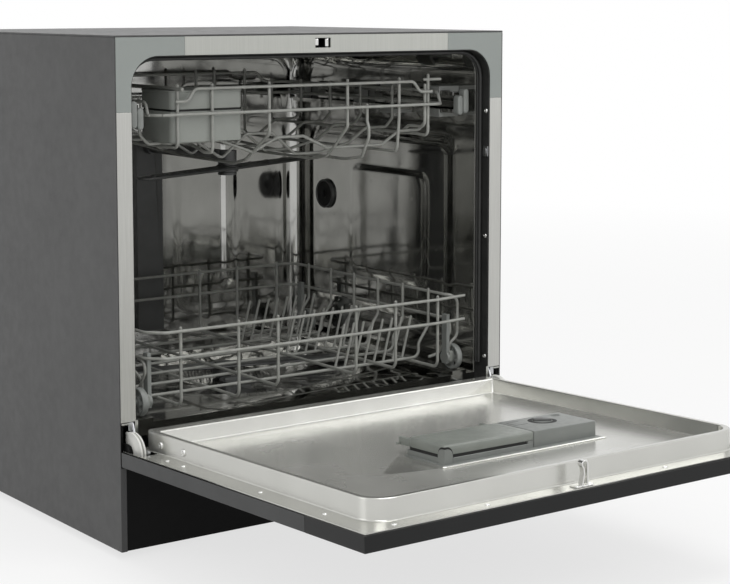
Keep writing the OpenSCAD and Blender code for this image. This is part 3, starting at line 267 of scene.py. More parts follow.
# Galvanised and zinc-plated steel: blue-grey, cloudy, half dull
ZINC = surface("galvanised_sheet", "#b4b7b9", "#94979a", (0.34, 0.5), 11, 3.0, 0.01, 0.9)
PLATED = surface("zinc_plated_steel", "#c2c3c4", "#a2a4a6", (0.29, 0.38), 16, 1.5, 0.01, 1.0)
BRIGHT = surface("polished_stainless", "#e2e2e0", "#d0d0ce", (0.1, 0.2), 20, 1.0, 0.004, 1.0)
# Circuit board lacquer over copper
BOARD = surface("circuit_board_lacquer", "#2f6b47", "#1d4a30", (0.28, 0.38), 5, 2.0, 0.02)
BUTTON = surface("button_abs", "#c3c4c3", "#babbba", (0.29, 0.38), 16, 0.8, 0.008)
# Tinted acrylic: almost black and very glossy, with a little dust
WINDOW = surface("display_acrylic", "#0d0e10", "#090a0b", (0.05, 0.12), 12, 3.0, 0.002)
# Painted shade: near black for the slots between tiers and under lids, the holes and the hollows, where
# shadow falls
PAINTED_SHADE_BLACK = surface("painted_slot_shade", "#101110", "#0b0c0b", (0.6, 0.75), 20, 1.2, 0.02)

# Nodes that are shown as they come, with no piece in their place
CAD_FINISHES = (
    (ZINC, "rear_cover"),
    (BLACK_PLASTIC, "drain_pump drain_spigot power_inlet"),
    (PLATED, "door_springs"),
    (ARM_GREY, "sump"),
    (MID_GREY, "wash_pump softener"),
    (WHITE, "inlet_valve"),
    (BOARD, "control_board"),
)
for finish, nodes in CAD_FINISHES:
    for node in nodes.split():
        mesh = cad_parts[node].data
        mesh.materials.clear()
        mesh.materials.append(finish)


# ---- Mesh helpers ----

def settle(name, mesh, finishes, body, slot, stands_for="", crease=32, edge=0.0, segments=2, wall=0.0):
    """Makes a mesh a piece that rides on its body.

    Its edges are rounded by edge, and a mesh that is a bare sheet is thickened by wall.
    """
    for finish in finishes:
        mesh.materials.append(finish)
    mesh.shade_smooth()
    mesh.set_sharp_from_angle(angle=math.radians(crease))
    held = bpy.data.objects.new(name, mesh)
    bpy.context.scene.collection.objects.link(held)
    if wall:
        sides = Counter(key for face in mesh.polygons for key in face.edge_keys)
        for line in mesh.edges:
            if sides[line.key] == 1:
                line.use_edge_sharp = True
        shell = held.modifiers.new("wall", "SOLIDIFY")
        shell.thickness = wall * MM
        shell.offset = -1
    if edge:
        rim = held.modifiers.new("rounded_edges", "BEVEL")
        rim.width = edge * MM
        rim.segments = segments
        rim.limit_method = "ANGLE"
        rim.angle_limit = math.radians(crease)
        rim.harden_normals = True
    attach(held, body)
    if stands_for:
        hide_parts(*stands_for.split())


def handed_over(bm, name):
    """Turns a mesh in the making into a mesh."""
    mesh = bpy.data.meshes.new(name)
    bm.to_mesh(mesh)
    bm.free()
    return mesh


def closed(bm, name):
    """Hands a mesh over with its doubles merged and its faces turned outward."""
    bmesh.ops.remove_doubles(bm, verts=bm.verts, dist=0.004 * MM)
    bmesh.ops.recalc_face_normals(bm, faces=bm.faces)
    return handed_over(bm, name)


def piece(bm, name, *what, **how):
    """Closes a mesh in the making and settles it."""
    settle(name, closed(bm, name), *what, **how)


def softened(node, finish, body, slot, edge, segments=2, crease=32):
    """A copy of a pressed or moulded solid with real rounded edges."""
    bm = bmesh.new()
    bm.from_mesh(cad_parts[node].data)
    bmesh.ops.remove_doubles(bm, verts=bm.verts, dist=0.01 * MM)
    bmesh.ops.dissolve_limit(bm, angle_limit=math.radians(0.6), verts=bm.verts, edges=bm.edges)
    mesh = handed_over(bm, node + "_formed")
    mesh.materials.clear()
    settle(node + "_formed", mesh, [finish], body, slot, node, crease, edge, segments)


def arc(steps, sweep=90, start=0):
    """Evenly spaced angles over a sweep in degrees, both ends included."""
    return [math.radians(start + sweep * k / steps) for k in range(steps + 1)]


def rounded(a, b, r, n=6, low_r=None, inset=0):
    """Outline of a rectangle over the ranges a and b, with rounded corners.

    The two corners where b starts may have a radius of their own.
    """
    (x0, x1), (y0, y1) = [(low + inset, high - inset) for low, high in (a, b)]
    s = r if low_r is None else low_r
    points = []
    for cx, cy, start, radius in ((x1 - s, y0 + s, -90, s), (x1 - r, y1 - r, 0, r),
            (x0 + r, y1 - r, 90, r), (x0 + s, y0 + s, 180, s)):
        for turn in arc(n, 90, start):
            points.append((cx + radius * math.cos(turn), cy + radius * math.sin(turn)))
    return points


def level(put, outline, h):
    """The points of a flat outline, placed at one height."""
    return [put(p, q, h) for p, q in outline]


def loft(bm, rings, low=True, high=True, finish=0):
    """Skins rings of equal length, with the first and last closed if asked; returns the rings' vertices."""
    loops = [[bm.verts.new(point) for point in ring] for ring in rings]
    for below, above in zip(loops, loops[1:]):
        for i in range(len(below)):
            bm.faces.new((below[i - 1], below[i], above[i], above[i - 1])).material_index = finish
    if low:
        bm.faces.new(loops[0][::-1]).material_index = finish
    if high:
        bm.faces.new(loops[-1]).material_index = finish
    return loops


def slab(bm, put, a, b, c, r, edge=0.6, steps=2, n=5, finish=0):
    """A block over the ranges a, b and c, its upright corners rounded by r and both its rims by edge."""
    quarter = arc(steps)
    levels = [(edge * (1 - math.sin(t)), c[0] + edge * (1 - math.cos(t))) for t in quarter]
    levels += [(edge * (1 - math.sin(t)), c[1] - edge * (1 - math.cos(t))) for t in reversed(quarter)]
    rings = [level(put, rounded(a, b, max(r - i, 0.1), n, inset=i), h) for i, h in levels]
    loft(bm, rings, finish=finish)


def turned(bm, put, profile, n=40, low=True, high=True, finish=0):
    """A profile of (radius, height) turned about its axis."""
    turns = [2 * math.pi * k / n for k in range(n)]
    return loft(bm, [[put(r * math.cos(t), r * math.sin(t), h) for t in turns] for r, h in profile],
        low, high, finish)


def hoop(bm, put, profile, n=40):
    """A closed profile turned about its axis."""
    turned(bm, put, profile + profile[:1], n, False, False)


def from_centre(put, a, b):
    """A placing measured from a centre."""
    return lambda p, q, h: put(a + p, b + q, h)


def spun(put, angle):
    """A placing turned about its axis."""
    cos, sin = math.cos(angle), math.sin(angle)
    return lambda p, q, h: put(p * cos - q * sin, p * sin + q * cos, h)


def from_origin(a, b, c):
    """A point of a small shape that is made once and copied."""
    return Vector((a, b, c)) * MM


def knurled(bm, put, profile, n, bite, band):
    """A turned profile whose every other step is cut by bite between the heights of band."""
    rings = []
    for r, h in profile:
        radii = (r, r - bite if band[0] < h < band[1] else r)
        turns = [(radii[k % 2], 2 * math.pi * k / n) for k in range(n)]
        rings.append([put(radius * math.cos(t), radius * math.sin(t), h) for radius, t in turns])
    loft(bm, rings)


# ---- Geometry Nodes ----

def node_tree(name, inputs):
    """An empty tree with named inputs of (kind, name) and a geometry output."""
    tree = bpy.data.node_groups.new(name, "GeometryNodeTree")
    tree.interface.new_socket("Geometry", in_out="INPUT", socket_type="NodeSocketGeometry")
    for kind, label in inputs:
        tree.interface.new_socket(label, in_out="INPUT", socket_type=kind)
    tree.interface.new_socket("Geometry", in_out="OUTPUT", socket_type="NodeSocketGeometry")
    return tree, add(tree, "NodeGroupInput").outputs


def end_tree(tree, geometry, material):
    """Closes a tree with its instances realised and its finish set."""
    real = add(tree, "GeometryNodeRealizeInstances", inputs={"Geometry": geometry}).outputs["Geometry"]
    smooth = add(tree, "GeometryNodeSetShadeSmooth", inputs={"Geometry": real}).outputs["Geometry"]
    dressed = add(tree, "GeometryNodeSetMaterial", inputs={"Geometry": smooth, "Material": material})
    add(tree, "NodeGroupOutput", inputs={"Geometry": dressed.outputs["Geometry"]})


def bent_wire_tree():
    """Paths of straight edges become round wire with filleted bends and rounded ends."""
    tree, given = node_tree("bent_wire", (
        ("NodeSocketFloat", "Wire radius"), ("NodeSocketFloat", "Bend radius"),
        ("NodeSocketInt", "Sides"), ("NodeSocketMaterial", "Finish")))
    path = add(tree, "GeometryNodeMeshToCurve", inputs={"Mesh": given["Geometry"]}).outputs["Curve"]
    bent = add(tree, "GeometryNodeFilletCurve", {"mode": "POLY"}, {
        "Curve": path, "Count": 5, "Radius": given["Bend radius"], "Limit Radius": True}).outputs["Curve"]
    ring = add(tree, "GeometryNodeCurvePrimitiveCircle", inputs={
        "Resolution": given["Sides"], "Radius": given["Wire radius"]}).outputs["Curve"]
    rod = add(tree, "GeometryNodeCurveToMesh", inputs={
        "Curve": bent, "Profile Curve": ring, "Fill Caps": True}).outputs["Mesh"]
    tip = add(tree, "GeometryNodeMeshIcoSphere", inputs={
        "Radius": given["Wire radius"], "Subdivisions": 2}).outputs["Mesh"]
    ends = add(tree, "GeometryNodeCurveEndpointSelection").outputs["Selection"]
    tips = add(tree, "GeometryNodeInstanceOnPoints", inputs={
        "Points": path, "Selection": ends, "Instance": tip}).outputs["Instances"]
    both = add(tree, "GeometryNodeJoinGeometry")
    for part in (rod, tips):
        tree.links.new(part, both.inputs["Geometry"])
    end_tree(tree, both.outputs["Geometry"], given["Finish"])
    return tree


def set_on_faces_tree():
    """One copy of a shape stands on each face, along the face's normal."""
    tree, given = node_tree("set_on_faces", (
        ("NodeSocketObject", "Shape"), ("NodeSocketMaterial", "Finish")))
    shape = add(tree, "GeometryNodeObjectInfo", inputs={"Object": given["Shape"]}).outputs["Geometry"]
    kept = add(tree, "GeometryNodeCaptureAttribute", {"domain": "FACE"}, {"Geometry": given["Geometry"]})
    kept.capture_items.new("VECTOR", "Facing")
    tree.links.new(add(tree, "GeometryNodeInputNormal").outputs["Normal"], kept.inputs["Facing"])
    points = add(tree, "GeometryNodeMeshToPoints", {"mode": "FACES"}, {
        "Mesh": kept.outputs["Geometry"]}).outputs["Points"]
    facing = add(tree, "FunctionNodeAlignRotationToVector", {"axis": "Z"}, {
        "Vector": kept.outputs["Facing"]}).outputs["Rotation"]
    copies = add(tree, "GeometryNodeInstanceOnPoints", inputs={
        "Points": points, "Instance": shape, "Rotation": facing}).outputs["Instances"]
    end_tree(tree, copies, given["Finish"])
    return tree


BENT_WIRE = bent_wire_tree()
SET_ON_FACES = set_on_faces_tree()


def grow(name, base, tree, values):
    """Runs a tree on a mesh with its inputs given by name, and returns the plain mesh it makes."""
    maker = bpy.data.objects.new(name, base)
    bpy.context.scene.collection.objects.link(maker)
    modifier = maker.modifiers.new("grow", "NODES")
    modifier.node_group = tree
    for socket in tree.interface.items_tree:
        if socket.in_out == "INPUT" and socket.name in values:
            modifier[socket.identifier] = values[socket.name]
    graph = bpy.context.evaluated_depsgraph_get()
    mesh = bpy.data.meshes.new_from_object(maker.evaluated_get(graph))
    maker.modifiers.remove(modifier)
    bpy.data.objects.remove(maker)
    mesh.name = name
    return mesh


def path_mesh(name, paths):
    """Edges along each list of points; a path that ends where it starts is closed."""
    points, edges = [], []
    for path in paths:
        start = len(points)
        ring = (path[0] - path[-1]).length < MM * 0.01
        body = path[:-1] if ring else path
        points += body
        edges += [(start + k, start + k + 1) for k in range(len(body) - 1)]
        if ring:
            edges.append((start + len(body) - 1, start))
    mesh = bpy.data.meshes.new(name)
    mesh.from_pydata(points, edges, [])
    return mesh


def wires(bm, paths, radius, bend, finish, sides=10):
    """Adds bent wires to a mesh in the making."""
    mesh = grow("wire_run", path_mesh("wire_paths", paths), BENT_WIRE, {
        "Wire radius": radius * MM, "Bend radius": bend * MM, "Sides": sides, "Finish": finish})
    bm.from_mesh(mesh)
    bpy.data.meshes.remove(mesh)


def set_copies(bm, name, shape, seats, finish):
    """Adds a copy of a small shape at each seat, a centre and a normal."""
    base = bmesh.new()
    for centre, normal in seats:
        across = normal.orthogonal().normalized() * MM
        up = normal.cross(across)
        base.faces.new([base.verts.new(centre + p) for p in (across, up, -across, -up)])
    helper = bpy.data.objects.new(name + "_shape", shape)
    bpy.context.scene.collection.objects.link(helper)
    mesh = grow(name, handed_over(base, name), SET_ON_FACES, {"Shape": helper, "Finish": finish})
    bpy.data.objects.remove(helper)
    bm.from_mesh(mesh)
    bpy.data.meshes.remove(mesh)


def screw_shape(radius, height):
    """A pan head with a cross recess, standing on its origin."""
    bm = bmesh.new()
    profile = [(radius, 0), (radius, height * 0.45), (radius * 0.93, height * 0.75), (radius * 0.78, height)]
    top = turned(bm, from_origin, profile, 20, high=False)[-1]
    arm, half = radius * 0.55, radius * 0.17
    cross = [(arm, -half), (arm, half), (half, half), (half, arm), (-half, arm), (-half, half),
        (-arm, half), (-arm, -half), (-half, -half), (-half, -arm), (half, -arm), (half, -half)]
    rings = [[from_origin(a * s, b * s, h) for a, b in cross] for s, h in ((1, height), (0.7, height * 0.4))]
    slot = loft(bm, rings, low=False)[0]
    rim = [bm.edges.get((ring[k - 1], ring[k])) for ring in (top, slot) for k in range(len(ring))]
    bmesh.ops.triangle_fill(bm, edges=rim, use_beauty=True)
    return closed(bm, "screw")


# ---- Cabinet, and everything that only needs its edges rounded ----

for row in (
    ("side_panel_left", ENAMEL, "cabinet", "enamel", 0.5),
    ("side_panel_right", ENAMEL, "cabinet", "enamel", 0.5),
    ("top_panel", ENAMEL, "cabinet", "enamel", 0.5),
    ("kick_plate", KICK_BLACK, "cabinet", "black_plastic", 0.6),
    ("base_tray", BLACK_PLASTIC, "cabinet", "black_plastic", 0.8),
    ("frame_sides", STRIP_UPRIGHT_PAINTED_LIGHTER, "cabinet", "frame_steel", 0.4),
    ("frame_top", STRIP_ACROSS_PAINTED_DARKER, "cabinet", "frame_steel", 0.35),
    ("frame_corners", CORNER_GREY, "cabinet", "corner_grey", 0.4),
    ("latch_keeper", BLACK_PLASTIC, "cabinet", "black_plastic", 0.4),
    ("mouth_trim", SEAL, "cabinet", "black_plastic", 0.4),
    ("hinge_brackets", KICK_BLACK, "cabinet", "black_plastic", 0.5),
    ("rail_guides", MID_GREY, "cabinet", "grey_plastic", 0.7),
    ("feed_pipe", ARM_GREY, "cabinet", "dark_grey_plastic", 1.5),
    ("tub_floor", TUB_STEEL, "cabinet", "tub_steel", 0.9, 3),
    ("air_break", ARM_GREY, "cabinet", "dark_grey_plastic", 1.0),
    ("salt_cap", ARM_GREY, "salt_lid", "dark_grey_plastic", 0.8, 3),
    ("float_cup", WHITE, "float", "white_plastic", 0.8, 3),
    ("upper_rails", TUB_STEEL, "rails", "tub_steel", 0.4),
    ("rack_shoes", MID_GREY, "upper_basket", "grey_plastic", 0.8),
    ("upper_feed_tube", ARM_GREY, "upper_basket", "dark_grey_plastic", 0.5),
    ("wheel_brackets", RUNNER_GREY, "lower_basket", "grey_plastic", 0.6),
    ("door_outer_panel", DOOR_ENAMEL, "door", "door_enamel", 0.9, 3),
    ("control_panel", PANEL_BLACK, "door", "panel_black", 0.9, 3),
):
    softened(*row)

# Rear cover with its pressed fields, and screws round its edge
BACK_Y = 478
bm = bmesh.new()
for x, z, r in (((-230, 230), (300, 520), 26), ((-230, -20), (110, 270), 22), ((20, 230), (110, 270), 22)):
    slab(bm, facing_back, x, z, (BACK_Y - 0.4, BACK_Y + 1.2), r, 1.2, 3, 6)
seats = []
for x in (-262, -130, 0, 130, 262):
    seats += [(at(x, BACK_Y, z), Vector((0, 1, 0))) for z in (14, 561)]
seats += [(at(x, BACK_Y, z), Vector((0, 1, 0))) for x in (-262, 262) for z in (150, 290, 430)]
set_copies(bm, "back_screws", screw_shape(3.6, 2.2), seats, PLATED)
piece(bm, "rear_pressings", [ZINC, PLATED], "cabinet", "zinc")

# Spigot of the drain with hose barbs, and the inlet's thread
DRAIN_X, INLET_X, REAR_Z = -140, -200, 60
bm = bmesh.new()
spigot = from_centre(facing_back, DRAIN_X, REAR_Z)
turned(bm, spigot, [(15, 452), (16, 453), (16, 475.5), (15, 476.6), (8.7, 476.7), (8.7, 479), (9.5, 479.6)]
    + [(r, y + dy) for y in (480, 485.5, 491) for r, dy in ((9.5, 0), (8.4, 4.6))]
    + [(8.6, 497), (7.8, 498), (6.2, 498), (5.8, 497.6), (5.8, 470)])
piece(bm, "drain_hose_barb", [BLACK_PLASTIC], "cabinet", "black_plastic")
bm = bmesh.new()
THREAD_PITCH = 1.8
THREAD = ((12.4, 479.4), (13.2, 480), (13.2, 480.3), (12.4, 480.9))
turned(bm, from_centre(facing_back, INLET_X, REAR_Z), [(12.2, 477)]
    + [(r, y + THREAD_PITCH * k) for k in range(7) for r, y in THREAD]
    + [(12.2, 491.8), (10, 492), (9.6, 491.6), (9.6, 480)])
piece(bm, "inlet_thread", [WHITE], "cabinet", "white_plastic")

# Round feet with a moulded grip and a tread
FOOT_PLACES = [(x, y) for x in (-220, 220) for y in (62, 430)]
bm = bmesh.new()
for x, y in FOOT_PLACES:
    knurled(bm, from_centre(at, x, y), [(13.5, -9.6), (14.5, -10), (16, -9.8), (17, -8.4), (17, -4.2),
        (16.2, -3.2), (13.4, -0.5), (12, -0.2)], 72, 0.5, (-8.5, -4))
piece(bm, "ribbed_feet", [FOOT_RUBBER], "cabinet", "foot_rubber", "feet")

# Screws that hold the trim, and a small bright catch beside the right one
MOUTH_X = 253.8
bm = bmesh.new()
seats = [(at(side * MOUTH_X, 6, z), Vector((-side, 0, 0))) for side in (-1, 1) for z in (161, 316, 474.5)]
set_copies(bm, "trim_screw_heads", screw_shape(2.9, 1.3), seats, BRIGHT)
piece(bm, "mouth_screws", [BRIGHT], "cabinet", "bright_steel", "trim_screws")
bm = bmesh.new()
slab(bm, facing_side, (1.2, 11.6), (416.8, 430), (MOUTH_X - 1, MOUTH_X), 1, 0.3)
slab(bm, facing_side, (3.4, 10.4), (419.6, 427.4), (MOUTH_X - 1.9, MOUTH_X - 0.9), 2, 0.5)
piece(bm, "rim_catch", [PLATED], "cabinet", "plated_steel")

# Spring catch inside the slot of the top strip
bm = bmesh.new()
slab(bm, facing_back, (4.4, 10.2), (559, 568.4), (2.2, 3.4), 1.2, 0.4, 2)
slab(bm, facing_back, (-10.2, -5.7), (560.6, 568.2), (1.6, 2.6), 0.8, 0.3, 2)
piece(bm, "latch_spring", [BRIGHT], "cabinet", "bright_steel")

# Seal: a bulb and a lip that follow the mouth
SEAL_X, SEAL_TOP, SEAL_LOW = 251, 548.7, 150


def mouth_path(inset, y, low):
    """A path up one side of the mouth, over its top and down the other, set in from the seal's line."""
    x, top = SEAL_X - inset, SEAL_TOP - inset
    return [at(-x, y, low), at(-x, y, top), at(x, y, top), at(x, y, low)]


bm = bmesh.new()
wires(bm, [mouth_path(0.2, 14, SEAL_LOW + 3)], 2.2, 31, SEAL, 12)
wires(bm, [mouth_path(0.8, 18.4, SEAL_LOW + 3)], 1.9, 31, SEAL, 10)
piece(bm, "mouth_seal", [SEAL], "cabinet", "seal_rubber", "door_seal")
# Turned edge of the tub's sheet, a bright line behind the trim
bm = bmesh.new()
wires(bm, [mouth_path(-3.1, 28, 132)], 0.6, 33, STRIP_UPRIGHT_PAINTED_LIGHTER, 8)
piece(bm, "tub_edge", [STRIP_UPRIGHT_PAINTED_LIGHTER], "cabinet", "tub_steel")


# ---- Tub ----

TUB_X, TUB_TOP, TUB_R, TUB_LOW = 255, 552, 34, 104
TUB_FRONT, TUB_BACK = 1.2, 429.9


def swell(p, q, field, depth, slope):
    """Height of a pressed field (p0, p1, q0, q1, corner radius) at a point, with a soft flank."""
    p0, p1, q0, q1, r = field
    dx = max(p0 + r - p, p - p1 + r, 0)
    dy = max(q0 + r - q, q - q1 + r, 0)
    inside = r - math.hypot(dx, dy)
    if dx == 0 and dy == 0:
        inside = min(p - p0, p1 - p, q - q0, q1 - q)
    t = min(max(inside / slope, 0), 1)
    return depth * t * t * (3 - 2 * t)


# Pressed fields on the side walls, as y range, z range, corner radius, depth into the tub and flank
SIDE_FIELDS = (
    ((70, 400, 186, 440, 26), 3.2, 14),
    ((120, 300, 230, 390, 22), 2.2, 12),
    ((334, 378, 318, 362, 22), -1.5, 8),
)
# Steps up each wall, round each top corner, across the roof and from front to back
WALL_STEPS, TURN_STEPS, ROOF_STEPS, DEPTH_STEPS = 87, 12, 55, 84
arch = [(-TUB_X, TUB_LOW + (TUB_TOP - TUB_R - TUB_LOW) * k / WALL_STEPS) for k in range(WALL_STEPS)]
for t in arc(TURN_STEPS, -90, 180):
    arch.append((-TUB_X + TUB_R + TUB_R * math.cos(t), TUB_TOP - TUB_R + TUB_R * math.sin(t)))
right_side = [(-x, z) for x, z in reversed(arch)]
for k in range(1, ROOF_STEPS):
    arch.append((-TUB_X + TUB_R + (2 * TUB_X - 2 * TUB_R) * k / ROOF_STEPS, TUB_TOP))
arch += right_side
# The wall turns in over its last REAR_BEND mm to meet the back
REAR_BEND = 22
straight = TUB_BACK - REAR_BEND
depths = [(TUB_FRONT + (straight - TUB_FRONT) * k / DEPTH_STEPS, 0) for k in range(DEPTH_STEPS + 1)]
for t in arc(8)[1:]:
    depths.append((straight + REAR_BEND * math.sin(t), REAR_BEND * (1 - math.cos(t))))
bm = bmesh.new()
grid = []
for y, inset in depths:
    row = []
    narrow, top = (TUB_X - inset) / TUB_X, TUB_TOP - inset
    for x, z in arch:
        push = 0
        if abs(x) > TUB_X - 0.01:
            push = sum(swell(y, z, field, depth, slope) for field, depth, slope in SIDE_FIELDS)
        squeezed = TUB_LOW + (z - TUB_LOW) * (top - TUB_LOW) / (TUB_TOP - TUB_LOW)
        row.append(bm.verts.new(at(x * narrow - math.copysign(max(push, -0.4), x), y, squeezed)))
    grid.append(row)
for low, high in zip(grid, grid[1:]):
    for i in range(len(arch) - 1):
        bm.faces.new((low[i], high[i], high[i + 1], low[i + 1]))
settle("tub_shell", handed_over(bm, "tub_shell"), [TUB_STEEL], "cabinet", "tub_steel", "tub_wrap", wall=0.8)

# Rear wall: two wide sunk fields, each with an upright rib
REAR_FIELDS = (
    ((-226, -46, 176, 500, 30), -1.0, 12),
    ((46, 226, 176, 500, 30), -1.0, 12),
    ((-150, -122, 210, 460, 14), 1.9, 9),
    ((122, 150, 210, 460, 14), 1.9, 9),
)
REAR_WALL_Y = 430
COLUMNS, ROWS = 128, 112
bm = bmesh.new()
grid = []
for j in range(ROWS + 1):
    z = TUB_LOW + (TUB_TOP + 0.5 - TUB_LOW) * j / ROWS
    corner = max(z - (TUB_TOP - TUB_R), 0)
    half = TUB_X + 0.5 - (TUB_R - math.sqrt(max(TUB_R ** 2 - corner ** 2, 0)))
    row = []
    for i in range(COLUMNS + 1):
        x = half * (2 * i / COLUMNS - 1)
        push = sum(swell(x, z, field, depth, slope) for field, depth, slope in REAR_FIELDS)
        row.append(bm.verts.new(at(x, REAR_WALL_Y - push, z)))
    grid.append(row)
for low, high in zip(grid, grid[1:]):
    for i in range(COLUMNS):
        bm.faces.new((low[i], low[i + 1], high[i + 1], high[i]))
settle("tub_back", handed_over(bm, "tub_back"), [TUB_STEEL], "cabinet", "tub_steel", "tub_rear_wall",
    wall=0.8)

# Nut of the air break on the right wall, its inside painted dark as shade
VENT_Y, VENT_Z = 356, 340
bm = bmesh.new()
vent = from_centre(facing_side, VENT_Y, VENT_Z)
turned(bm, vent, [(20.3, 251), (20.3, 247.8), (19.4, 247.2), (18.2, 247.6), (17.6, 248.6)], 48, False, False)
turned(bm, vent, [(17.6, 248.6), (6, 248.2), (5, 249), (5, 251)], 48, False, True, 1)
piece(bm, "vent_ring", [ARM_GREY, PAINTED_SHADE_BLACK], "cabinet", "dark_grey_plastic")

# Filter plate: a punched disc round the arm's post; its holes are flat discs of painted shade, drawn 3 mm
# wide so that they show
SUMP_Y, CUP_Y, PLATE_Z = 230, 194, 128.4
bm = bmesh.new()
hoop(bm, from_centre(at, 0, SUMP_Y), [(11.2, 127), (61.4, 127), (61.7, 127.4), (61.7, 128.1),
    (61.4, PLATE_Z), (11.2, PLATE_Z)], 96)
hole_shade_seats = []
for j in range(-11, 12):
    for i in range(-12, 13):
        x, y = 5 * i + 2.5 * (j % 2), 4.6 * j
        if 15 < math.hypot(x, y) < 57 and math.hypot(x, y + SUMP_Y - CUP_Y) > 27:
            hole_shade_seats.append((at(x, SUMP_Y + y, PLATE_Z - 0.03), Vector((0, 0, 1))))
shade_disc = bmesh.new()
turned(shade_disc, from_origin, [(1.5, 0), (1.5, 0.08)], 6)
set_copies(bm, "plate_holes", closed(shade_disc, "shade_disc"), hole_shade_seats, PAINTED_SHADE_BLACK)
piece(bm, "punched_plate", [TUB_STEEL, PAINTED_SHADE_BLACK], "cabinet", "tub_steel", "filter_plate")

# Filter cup with a grip bar
bm = bmesh.new()
cup = from_centre(at, 0, CUP_Y)
turned(bm, cup, [(20.4, 84), (21, 84.6), (21, 128.6), (23.2, 128.8), (23.5, 129.2), (23.5, 130.2),
    (23, 130.6), (20, 130.6), (19.4, 130), (19, 88), (18.4, 86.4)], 48)
slab(bm, cup, (-19.6, 19.6), (-1.6, 1.6), (121, 134), 0.8, 0.6)
piece(bm, "filter_cup_body", [ARM_GREY], "filter_cup", "dark_grey_plastic", "filter_basket")


# ---- Spray arms ----

# Places of the jets, as shares of half the length and of the width
JETS_ALONG, JETS_ASIDE = (0.35, 0.55, 0.75, 0.9), 0.28


def spray_arm(name, centre_y, z, half, turn, width, end, hub, body, node):
    """A spray arm: a crowned blade with a rib, a hub ring on its post, and a row of jets on each half."""
    bm = bmesh.new()
    put = spun(lambda u, v, h: at(u, centre_y + v, z + h), math.radians(turn))
    tip = half - end / 2
    stations = [-half + 0.3 + end / 2 * (1 - math.cos(t)) for t in arc(6)]
    stations += [-tip + 2 * tip * k / 36 for k in range(1, 36)]
    stations += [-u for u in reversed(stations[:7])]
    rings = []
    for u in stations:
        wide = end / 2 + (width - end) / 2 * max(1 - abs(u) / tip, 0) ** 0.8
        if abs(u) > tip:
            wide = math.sqrt(max((end / 2) ** 2 - (abs(u) - tip) ** 2, 0.5))
        thick = 2.7 * min(1, 0.55 + (half - abs(u)) / 30)
        ring = []
        for k in range(20):
            t = 2 * math.pi * k / 20
            v = wide * math.copysign(abs(math.cos(t)) ** 0.7, math.cos(t))
            h = thick * math.copysign(abs(math.sin(t)) ** 0.8, math.sin(t))
            ring.append(put(u, v, h))
        rings.append(ring)
    loft(bm, rings)
    low, high = hub
    hoop(bm, put, [(8.1, -low), (13.4, -low), (14, 0.6 - low), (14, high - 1), (13.2, high),
        (8.1, high)], 48)
    # Rib along the blade's middle, broken at the hub
    for along in ((14 - tip, -18), (18, tip - 14)):
        slab(bm, put, along, (-1.6, 1.6), (1.8, 3.2), 1.5, 0.8)
    jet = bmesh.new()
    turned(jet, from_origin, [(3.4, 0), (3.2, 0.7), (1.9, 1.1), (1.3, 0.4)], 16)
    seats = [(put(s * half * k, s * JETS_ASIDE * width * (1 - 0.5 * k), 1.9), Vector((0, 0, 1)))
        for s in (-1, 1) for k in JETS_ALONG]
    set_copies(bm, "jets", closed(jet, "jet"), seats, ARM_GREY)
    piece(bm, name, [ARM_GREY], body, "dark_grey_plastic", node)


spray_arm("upper_arm_blade", 215, 400.75, 176, 22, 34, 22, (4.75, 3.55), "upper_arm", "upper_spray_arm")
spray_arm("lower_arm_blade", SUMP_Y, 143.25, 174, -14, 36, 24, (10.75, 2.75), "lower_arm", "lower_spray_arm")


# ---- Upper rack ----

WIRE_R, LAP = 1.9, 3.2
RACK_X, RACK_Y, RACK_BACK = 210, 30, 392
MID_Z, SIDE_Z, TOP_Z, LOW_Z = 484, 499, 513, 446
RAISED, KINK = 159, 22


def ring_path(half, y0, y1, z, cut):
    """A flat loop of wire with its corners cut before bending."""
    x, y_cut = half - cut, (y0 + cut, y1 - cut)
    return [at(*place, z) for place in ((-x, y0), (x, y0), (half, y_cut[0]), (half, y_cut[1]), (x, y1),
        (-x, y1), (-half, y_cut[1]), (-half, y_cut[0]), (-x, y0))]


FRONT_Y_IN, BACK_Y_IN = RACK_Y + LAP, RACK_BACK - LAP
VALLEY_Z = 417
bm = bmesh.new()
wires(bm, [ring_path(RACK_X, RACK_Y, RACK_BACK, MID_Z, 12)], WIRE_R, 22, WIRE)
# Front top wire, stepped down at both ends to the outer uprights
top_front = [at(x, RACK_Y, z) for x, z in ((-181, SIDE_Z), (-166, SIDE_Z), (-157, TOP_Z), (157, TOP_Z),
    (167, SIDE_Z + 1), (185, SIDE_Z + 1))]
# Top wire of the sides and the back, turned down into the middle wire in front
back = [(RACK_X - 8, SIDE_Z), (RAISED + KINK, SIDE_Z), (RAISED + 8, SIDE_Z + 3), (RAISED, TOP_Z),
    (-RAISED, TOP_Z), (-RAISED - 8, SIDE_Z + 3), (-RAISED - KINK, SIDE_Z), (-RACK_X + 8, SIDE_Z)]
sides = ((RACK_Y + 14, MID_Z), (RACK_Y + 20, SIDE_Z), (RACK_BACK - 8, SIDE_Z))
around = [at(RACK_X, y, z) for y, z in sides] + [at(x, RACK_BACK, z) for x, z in back]
around += [at(-RACK_X, y, z) for y, z in reversed(sides)]
wires(bm, [top_front, around], WIRE_R, 9, WIRE)
